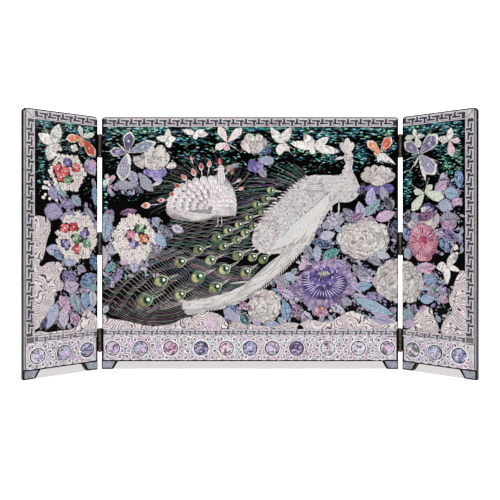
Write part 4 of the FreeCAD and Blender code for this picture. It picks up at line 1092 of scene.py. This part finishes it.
# ================================================================ lotus heads
# Three half-open lotus flowers in white shell, cupped in a purple calyx on grey-green leaves.
random.seed(12)
cups = []
lotus_purple = cut_shell("calyx_shell", [(0.08, 0.06, 0.20), (0.24, 0.19, 0.40), (0.40, 0.36, 0.54)], 0.006,
    lines=("along", 3), dark=0.6)
for x0, z0, x1, z1, width, finish, lift in ((-141, 258, -108, 258, 17, lotus_purple, 0.2),
        (-147, 257, -128, 236, 12, leaf_shells["g"], 0.1), (-128, 250, -114, 246, 7, lotus_purple, 0.35),
        (-128, 240, -116, 245, 5, peony_white, 0.3), (-139, 262, -152, 278, 11, peony_white, 0.35),
        (-110, 264, -96, 268, 9, peony_white, 0.35), (-128, 261, -142, 282, 15, peony_white, 0.4),
        (-122, 260, -108, 284, 16, peony_white, 0.4), (-126, 262, -133, 294, 17, peony_white, 0.55),
        (-124, 262, -115, 294, 16, peony_white, 0.6), (-127, 260, -136, 278, 12, peony_white, 0.8),
        (-120, 260, -112, 277, 12, peony_white, 0.85), (-124, 259, -124, 279, 18, peony_white, 1.0),
        (-4, 262, 18, 266, 15, lotus_purple, 0.2), (0, 275, 8, 258, 14, lotus_purple, 0.3),
        (10, 274, 32, 272, 13, leaf_shells["t"], 0.2), (2, 284, 30, 288, 12, leaf_shells["b"], 0.1),
        (-2, 284, -9, 300, 12, peony_white, 0.35), (12, 286, 20, 302, 12, peony_white, 0.35),
        (2, 284, -2, 309, 15, peony_white, 0.5), (8, 284, 13, 308, 14, peony_white, 0.55),
        (0, 282, -4, 297, 10, peony_white, 0.75), (10, 282, 14, 296, 10, peony_white, 0.8),
        (5, 280, 6, 298, 13, peony_white, 0.95), (148, 236, 190, 236, 16, lotus_purple, 0.1),
        (160, 238, 156, 214, 13, lotus_purple, 0.2), (172, 240, 178, 220, 12, leaf_shells["g"], 0.15),
        (150, 242, 142, 228, 9, leaf_shells["p"], 0.2), (164, 244, 145, 256, 12, peony_white, 0.35),
        (172, 244, 190, 256, 12, peony_white, 0.35), (162, 242, 152, 265, 13, peony_white, 0.5),
        (172, 242, 182, 264, 13, peony_white, 0.55), (164, 242, 163, 268, 13, peony_white, 0.7),
        (170, 242, 173, 267, 13, peony_white, 0.75), (158, 242, 178, 246, 9, peony_white, 0.95)):
    lay(cups, petal, (x0, z0), (x1, z1), width, 0.5, finish, lift)
fit(cups, "lotus_heads", "centre", "white_shell", "centre_lotus_flowers")


# ================================================================ butterflies
# Each wing is a white plate with a smaller tinted plate on it; the small white ones are plain.
# Bodies are slips, and feelers are wires with a bead at the end.
random.seed(15)
moth_white = cut_shell("white_wing_shell", [(0.54, 0.50, 0.48), (0.70, 0.66, 0.62), (0.54, 0.56, 0.52)],
    0.01, lines=("swirls", 6), dark=0.45, grain_and_glint=1.0)
moth_shells = {
    "w": moth_white,
    "v": cut_shell("violet_wing_shell", [(0.07, 0.06, 0.12), (0.22, 0.18, 0.32), (0.40, 0.34, 0.44),
        (0.14, 0.20, 0.26)], 0.005, lines=("along", 5), dark=0.4),
    "k": cut_shell("pink_wing_shell", [(0.50, 0.24, 0.28), (0.62, 0.40, 0.44), (0.62, 0.56, 0.54)], 0.005,
        lines=("along", 4), dark=0.7),
    "r": cut_shell("red_wing_shell", [(0.40, 0.04, 0.02), (0.58, 0.12, 0.06), (0.60, 0.30, 0.16)], 0.006,
        lines=("along", 4), dark=0.6),
    "g": cut_shell("green_wing_shell", [(0.40, 0.44, 0.36), (0.54, 0.58, 0.48)], 0.006, lines=("along", 4),
        dark=0.75),
}
wing = cut_blank("wing_blank", 12, [(0.067, 0.45), (0.25, 0.66), (0.5, 0.92), (0.75, 1.12), (0.933, 0.7)],
    0.6, [(0.022, 0.28), (0.12, 0.12)])


def butterfly(parts, root, wings, body=None, feelers=()):
    """Wings from one point: (x, z, width, tint) each. A body runs from root to a place."""
    for k, (x, z, width, tint) in enumerate(wings):
        lay(parts, leaf if tint == "w" else wing, root, (x, z), width, 0.55, moth_white, 0.3 + 0.08 * k)
        if tint != "w":
            inner = [(root[0] * (1 - t) + x * t, root[1] * (1 - t) + z * t) for t in (0.06, 0.88)]
            lay(parts, wing, inner[0], inner[1], 0.80 * width, 0.25, moth_shells[tint], 0.78 + 0.08 * k,
                moth_shells[tint])
            lay(parts, dome, (inner[1][0] * 0.6 + root[0] * 0.4 - 0.1 * width,
                inner[1][1] * 0.6 + root[1] * 0.4), (inner[1][0] * 0.6 + root[0] * 0.4 + 0.1 * width,
                inner[1][1] * 0.6 + root[1] * 0.4), 0.2 * width, 0.2, moth_white, 0.98 + 0.08 * k)
    if body:
        lay(parts, slip, root, body, 2.6, 0.5, moth_white, 0.9)
    for x, z in feelers:
        lay(parts, slip, root, (x, z), 0.9, 0.35, moth_white, 0.45)
        button(parts, x, z, 0.8, 1.6, 0.5, moth_white, 0.45)


moths = []
butterfly(moths, (-161, 283), [(-157, 312, 16, "v"), (-122, 297, 15, "v"), (-168, 245, 19, "v"),
    (-184, 285, 13, "v"), (-157, 264, 7, "w")], (-175, 297), [(-193, 285), (-157, 317), (-120, 297)])
butterfly(moths, (-108, 300), [(-123, 303, 9, "w"), (-97, 302, 9, "w"), (-107, 315, 9, "w"),
    (-105, 289, 9, "w")])
butterfly(moths, (-72, 308), [(-89, 313, 8, "w"), (-54, 307, 9, "w"), (-71, 300, 7, "w"),
    (-60, 313, 7, "w")])
butterfly(moths, (-30, 296), [(-41, 318, 11, "k"), (-10, 316, 11, "k"), (-46, 288, 10, "k"),
    (-31, 285, 9, "k")], None, [(-12, 284), (-48, 284)])
butterfly(moths, (41, 295), [(27, 317, 12, "w"), (54, 317, 13, "w"), (38, 279, 12, "w"),
    (52, 285, 10, "w")], None, [(58, 279), (58, 288)])
butterfly(moths, (84, 290), [(52, 296, 12, "w"), (70, 308, 13, "w"), (104, 304, 11, "w"),
    (118, 284, 12, "w"), (79, 281, 9, "w")])
butterfly(moths, (171, 283), [(153, 299, 12, "r"), (185, 305, 13, "r"), (162, 282, 8, "r"),
    (180, 270, 10, "w"), (191, 267, 5, "w"), (168, 270, 7, "w")], (176, 292))
butterfly(moths, (-184, 250), [(-192, 240, 7, "g"), (-176, 251, 7, "k"), (-190, 254, 6, "k")])
fit(moths, "centre_butterfly_wings", "centre", "white_shell", "centre_butterflies")

left_moths = []
butterfly(left_moths, (-60, 289), [(-80, 300, 14, "w"), (-53, 315, 15, "w"), (-67, 267, 16, "w"),
    (-49, 281, 9, "w")], None, [(-75, 312), (-44, 296)])
butterfly(left_moths, (-22, 300), [(-44, 297, 12, "r"), (-4, 276, 14, "r"), (-26, 316, 7, "g"),
    (-5, 307, 7, "g"), (-24, 288, 8, "r")], (-15, 310))
fit(left_moths, "left_butterfly_wings", "left", "white_shell", "left_butterflies")

right_moths = []
butterfly(right_moths, (19, 302), [(4, 301, 8, "g"), (17, 313, 7, "w"), (25, 287, 9, "g"),
    (32, 302, 6, "w")])
butterfly(right_moths, (25, 279), [(3, 297, 15, "v"), (49, 303, 19, "v"), (46, 251, 20, "v"),
    (33, 243, 7, "w")], (17, 262), [(3, 272), (9, 254), (53, 266), (55, 247)])
butterfly(right_moths, (64, 293), [(48, 297, 9, "w"), (66, 309, 9, "w"), (78, 291, 7, "k"),
    (68, 272, 10, "k")])
butterfly(right_moths, (31, 229), [(58, 222, 15, "g"), (14, 206, 13, "g"), (16, 232, 9, "g"),
    (42, 239, 8, "g")], None, [(37, 247), (15, 239)])
butterfly(right_moths, (61, 137), [(75, 155, 11, "w"), (47, 134, 13, "w"), (61, 113, 9, "w"),
    (78, 131, 7, "w")])
fit(right_moths, "right_butterfly_wings", "right", "white_shell", "right_butterflies")


# ================================================================ the small peacock
# A white bird seen from behind, its fanned tail in rows of round-ended feathers, with drops of
# red shell on stems round it.
random.seed(21)
bird_white = cut_shell("bird_shell", [(0.41, 0.38, 0.37), (0.58, 0.53, 0.52), (0.54, 0.54, 0.52),
    (0.59, 0.52, 0.52)], 0.012, lines=("along", 3), dark=0.5, spread=0.6, grain_and_glint=1.0)
small_outline = [
    (-41, 262), (-45, 254), (-60, 250), (-76, 243), (-88, 230), (-100, 219), (-110, 211),
    (-106, 200), (-88, 194), (-66, 193), (-46, 198), (-24, 202), (-18, 214), (-19, 230),
    (-26, 244), (-33, 254), (-34, 264), (-38, 268),
]
small = [plate(small_outline, 0.7, bird_white)]
for ring_number, (share, count, length, width) in enumerate(((1.04, 19, 13, 9.5), (0.84, 16, 11, 8.5),
        (0.66, 13, 10, 7.5), (0.48, 11, 9, 6.5), (0.32, 8, 9, 6), (0.18, 6, 8, 5.5))):
    for k in range(count):
        at = radians(-12 + 206 * (k + 0.5) / count)
        reach_x = (58 if cos(at) < 0 else 32) * share
        reach_z = 39 * share
        tip = (-50 + reach_x * cos(at), 213 + reach_z * sin(at))
        pull = hypot(tip[0] + 50, tip[1] - 205)
        root = (tip[0] - (tip[0] + 50) / pull * length, tip[1] - (tip[1] - 205) / pull * length)
        lay(small, petal, root, tip, width, 0.45, bird_white, 0.35 + 0.14 * ring_number)
        middle = (0.35 * root[0] + 0.65 * tip[0], 0.35 * root[1] + 0.65 * tip[1])
        lay(small, petal, root, middle, 0.42 * width, 0.2, pale_shell, 0.72 + 0.14 * ring_number)
for k in range(9):
    lay(small, leaf, (-44 - 3 * k, 203 - 0.3 * k), (-80 - 4 * k, 194 + 1.9 * k), 6, 0.4, bird_white,
        0.9 + 0.03 * k)
for k in range(7):
    lay(small, petal, (-24 - 4 * k, 212), (-20 - 4.6 * k, 200), 6.5, 0.4, bird_white, 0.9)
lay(small, leaf, (-36, 240), (-39, 268), 10, 0.5, bird_white, 1.0)
lay(small, dome, (-43, 262), (-33, 262), 10, 0.6, bird_white, 0.95)
lay(small, slip, (-41, 262), (-48, 260), 2.6, 0.4, bird_white, 1.0)
lay(small, dome, (-40.5, 263.5), (-38.9, 263.5), 1.6, 0.3, seam, 1.35)
lay(small, petal, (-39.5, 266), (-40, 276), 4.6, 0.5, floret_shells["r"], 0.6)
for x in (-42, -37):
    lay(small, slip, (x, 200), (x, 187), 1.8, 0.6, bird_white, 0.2)
    lay(small, slip, (x + 1, 188), (x - 4, 186), 1.4, 0.6, bird_white, 0.2)
brown = cut_shell("brown_crest_shell", [(0.12, 0.06, 0.03), (0.34, 0.21, 0.12), (0.50, 0.38, 0.26)], 0.004)
for k in range(13):
    at = radians(-60 + 17 * k)
    lay(small, slip, (-27 + 2 * cos(at), 260 + 2 * sin(at)), (-27 + 8 * cos(at), 260 + 8 * sin(at)), 1.7,
        0.5, brown, 0.3)
fit(small, "small_peacock_feathers", "centre", "white_shell", "small_peacock")

fan_plan = [
    (-137, 214, 7.2), (-117, 221, 5.6), (-102, 229, 5.2), (-95, 240, 5.6), (-87, 251, 5.8), (-74, 258, 6.2),
    (-64, 265, 5.6), (-53, 269, 5.6), (-27, 262, 4.0), (-77, 276, 3.0), (-14, 247, 4.0), (-11, 236, 4.0),
]
drops = []
for x, z, size in fan_plan:
    pull = atan2(222 - z, -60 - x)
    head = (x - 0.85 * size * cos(pull), z - 0.85 * size * sin(pull))
    tail = (x + 1.0 * size * cos(pull), z + 1.0 * size * sin(pull))
    lay(drops, slip, (x, z), (x + 3.1 * size * cos(pull), z + 3.1 * size * sin(pull)), 1.1, 0.4, pale_shell,
        0.2)
    lay(drops, leaf, tail, head, 1.15 * size, 0.5, pale_shell, 0.3)
    lay(drops, leaf, (0.8 * tail[0] + 0.2 * head[0], 0.8 * tail[1] + 0.2 * head[1]),
        (0.08 * tail[0] + 0.92 * head[0], 0.08 * tail[1] + 0.92 * head[1]), 0.9 * size, 0.3,
        floret_shells["o"], 0.72)
    button(drops, x, z, 0.25 * size, 0.5 * size, 0.25, floret_shells["r"], 0.95)
fit(drops, "fan_drops", "centre", "red_tinted_shell", "small_peacock_fan_eyes")


# ================================================================ the large peacock
# The main bird: a white plate carries rows of engraved feathers, small scales on the breast, big
# ones on the back, long quills along the lower edge and down the train.
random.seed(27)
body_outline = [
    (127, 284), (122, 278), (125, 268), (120, 256), (100, 254), (78, 253), (60, 242),
    (42, 224), (22, 203), (4, 178), (3, 166), (12, 154), (26, 150), (44, 152), (62, 150), (78, 162),
    (90, 184), (103, 206), (113, 217), (132, 219), (144, 233), (140, 248), (134, 262), (135, 276),
]
train_outline = [
    (66, 176), (47, 156), (25, 139), (9, 125), (-4, 114), (-17, 106), (-28, 99), (-40, 94), (-55, 90),
    (-70, 87), (-94, 88), (-82, 82), (-86, 74), (-68, 72), (-54, 77), (-40, 78), (-24, 82), (-8, 89),
    (4, 98), (14, 106), (24, 114), (36, 125), (50, 137), (62, 149), (76, 166),
]


def inside(outline, x, z):
    """Whether a place is within an outline's corners."""
    within = False
    for (x0, z0), (x1, z1) in zip(outline, outline[1:] + outline[:1]):
        if (z0 > z) != (z1 > z) and x < x0 + (z - z0) * (x1 - x0) / (z1 - z0):
            within = not within
    return within


back_white = cut_shell("back_feather_shell", [(0.41, 0.37, 0.37), (0.56, 0.51, 0.50), (0.50, 0.52, 0.50),
    (0.56, 0.49, 0.50)], 0.014, lines=("swirls", 12), dark=0.4, spread=0.5, grain_and_glint=1.0)
quill_white = cut_shell("quill_shell", [(0.42, 0.38, 0.37), (0.60, 0.56, 0.54), (0.54, 0.55, 0.53)], 0.014,
    lines=("along", 3), dark=0.6, spread=0.5, grain_and_glint=0.9)
bird_seam = seam_lacquer("bird_seam", (0.11, 0.095, 0.095))
bird = [plate(body_outline, 0.6, back_white), plate(train_outline, 0.6, quill_white, 0.06)]
for row in range(26):
    for column in range(34):
        x, z = 146 - 4.6 * column - 2.3 * (row % 2), 284 - 5.6 * row
        if not inside(body_outline, x, z) or not inside(body_outline, x + 1, z + 2):
            continue
        breast = x > 100 or z > 252
        size = 5.2 if breast else 7.6
        lean = radians(200 if breast and z < 254 else 262 if breast else 222 + 0.2 * (z - 200))
        tip = (x + size * cos(lean), z + size * sin(lean))
        if not inside(body_outline, x + 0.7 * size * cos(lean), z + 0.7 * size * sin(lean)):
            continue
        lay(bird, petal if breast else leaf, (x, z), tip, 0.8 * size if breast else 0.62 * size, 0.4,
            bird_white if breast else back_white, 0.30 + 0.1 * ((row + column) % 3),
            soft_seam if breast else bird_seam)
        if breast:
            lay(bird, dome, (x + 0.5 * size * cos(lean) - 0.45, z + 0.5 * size * sin(lean)),
                (x + 0.5 * size * cos(lean) + 0.45, z + 0.5 * size * sin(lean)), 0.9, 0.15, seam,
                0.66 + 0.1 * ((row + column) % 3))
for k in range(9):
    z = 226 + 2.4 * k
    lay(bird, slip, (103 - 1.2 * k, z), (72 + 1.5 * abs(k - 4), z - 1.5), 2.6, 0.4,
        leaf_shells["l"] if k % 4 == 3 else quill_white, 0.75)
for k in range(11):
    root = (104 - 3.4 * k, 232 - 3.2 * k)
    bend = (92 - 5.2 * k, 196 - 3.0 * k)
    tip = (72 - 5.2 * k, 166 - 1.4 * k)
    lay(bird, leaf, root, bend, 6.5, 0.5, quill_white, 0.85)
    lay(bird, leaf, (0.3 * root[0] + 0.7 * bend[0], 0.3 * root[1] + 0.7 * bend[1]), tip, 6.5, 0.5,
        quill_white, 0.75)
spine = bowed((84, 196), (50, 142), (2, 79), (-92, 83), 30)
for strand in range(6):
    for k in range(0, 28, 2):
        (x0, z0), (x1, z1) = spine[k], spine[min(30, k + 5)]
        slope = atan2(z1 - z0, x1 - x0)
        half = (max(5.8, 9.2 - 0.3 * k) if k < 22 else 5.8 - 0.5 * (k - 22)) * (strand / 5 * 2 - 1)
        off = (-sin(slope) * half, cos(slope) * half)
        lay(bird, slip, (x0 - off[0], z0 - off[1]), (x1 - off[0] * 0.9, z1 - off[1] * 0.9), 4.8, 0.4,
            quill_white, 0.5 + 0.06 * ((k + strand) % 4), bird_seam)
for k in range(84):
    (x0, z0), (x1, z1) = spine[k // 3], spine[k // 3 + 2]
    slope = atan2(z1 - z0, x1 - x0)
    half = max(7.4, 10.0 - 0.1 * k)
    off, onward = 0.9 * half, 0.25 * (k % 2)
    x0, z0 = x0 - sin(slope) * off + (x1 - x0) * onward, z0 + cos(slope) * off + (z1 - z0) * onward
    lay(bird, slip, (x0, z0), (x0 + 7 * cos(slope + 0.7), z0 + 7 * sin(slope + 0.7)), 1.5, 0.35,
        quill_white, 0.3 + 0.05 * (k % 3))
for (x0, z0), (x1, z1) in (((2, 115), (-28, 111.5)), ((-66, 86), (-98, 90)), ((-60, 80), (-92, 78))):
    lay(bird, slip, (x0, z0), (x1, z1), 2.6, 0.4, quill_white, 0.4)
fringe = (quill_white, leaf_shells["l"], quill_white, leaf_shells["k"], bird_white)
for k, (x, z) in enumerate(bowed((74, 250), (50, 236), (0, 200), (5, 160), 26)):
    lean = radians(150 + 2.2 * k)
    lay(bird, leaf, (x + 5, z - 1), (x + 5 + 9 * cos(lean), z - 1 + 9 * sin(lean)), 2.6, 0.45,
        fringe[k % 5], 0.5)
for tip in ((119, 297), (127.5, 303), (135, 297)):
    lay(bird, petal, (127, 281), tip, 8.5, 0.5, bird_white, 0.6)
lay(bird, slip, (127, 278), (127.4, 296), 2.0, 0.4, quill_white, 1.0)
lay(bird, slip, (125, 277.5), (110.5, 274.5), 4.6, 0.6, bird_white, 0.6)
lay(bird, dome, (122.5, 279), (135.5, 279), 12.5, 0.7, bird_white, 0.65)
lay(bird, dome, (125.6, 280.4), (127.8, 280.4), 2.2, 0.3, seam, 1.2)
for x in (106.8, 116.6):
    lay(bird, slip, (x, 221), (x - 0.6, 199), 2.6, 0.7, bird_white, 0.2)
    for toe in (-5, 0, 4):
        lay(bird, slip, (x - 0.6, 200.5), (x + toe, 197), 1.5, 0.6, bird_white, 0.7)
fit(bird, "large_peacock_feathers", "centre", "white_shell", "large_peacock")


# ================================================================ the eyes of the train
# Each eye is a pile of plates: a pale drop, a dark green drop, gold, dark green, a black
# crescent, and a white bead towards the bird. A quill of two fine strips leads to it.
random.seed(31)
gold = cut_shell("gold_eye_shell", [(0.15, 0.14, 0.04), (0.32, 0.30, 0.10), (0.42, 0.42, 0.20)], 0.004,
    lines=("along", 6), dark=0.7)
deep_green = cut_shell("green_eye_shell", [(0.006, 0.03, 0.012), (0.02, 0.095, 0.045), (0.08, 0.22, 0.11)],
    0.004)
pale_green = cut_shell("pale_green_eye_shell", [(0.14, 0.24, 0.12), (0.36, 0.46, 0.28), (0.52, 0.56, 0.42)],
    0.005)
drop = cut_blank("drop_blank", 16, [(0.691, 0.92), (0.854, 0.66), (0.962, 0.36)], 0.6, [(0.04, 0.4)])
eyes = []
for x, z, size in eye_plan:
    pull = atan2(225 - z, 75 - x) * 0.7
    step = Vector((cos(pull), sin(pull))) * size

    def across(first, second):
        """The two ends of a plate, as shares of the eye's radius along the quill."""
        return (x + step.x * first, z + step.y * first), (x + step.x * second, z + step.y * second)

    for side in (-1, 1):
        bow = (-step.y * 0.25 * side, step.x * 0.25 * side)
        (rx, rz), (tx, tz) = across(0.6, 3.4)
        lay(eyes, slip, (rx + bow[0], rz + bow[1]), (tx, tz), 0.9, 0.4,
            pale_green if side == 1 else pale_shell, 0.15)
    for blank, first, second, wide, rise, finish, lift in ((drop, -1.15, 1.55, 2.05, 0.45, pale_green, 0.1),
            (drop, -0.98, 1.2, 1.72, 0.3, deep_green, 0.45), (dome, -0.95, 0.34, 1.5, 0.25, gold, 0.7),
            (dome, -0.22, 0.56, 1.05, 0.2, deep_green, 0.88), (dome, -0.02, 0.44, 0.8, 0.15, seam, 1.0),
            (dome, 0.30, 0.86, 0.56, 0.4, bead_white, 1.12)):
        lay(eyes, blank, *across(first, second), wide * size, rise, finish, lift)
fit(eyes, "train_eye_plates", "centre", "green_abalone", "peacock_train_eyes")


# ================================================================ the last steps
# The cut-out blanks go back in their box.
for blank in blanks:
    bpy.data.objects.remove(blank)
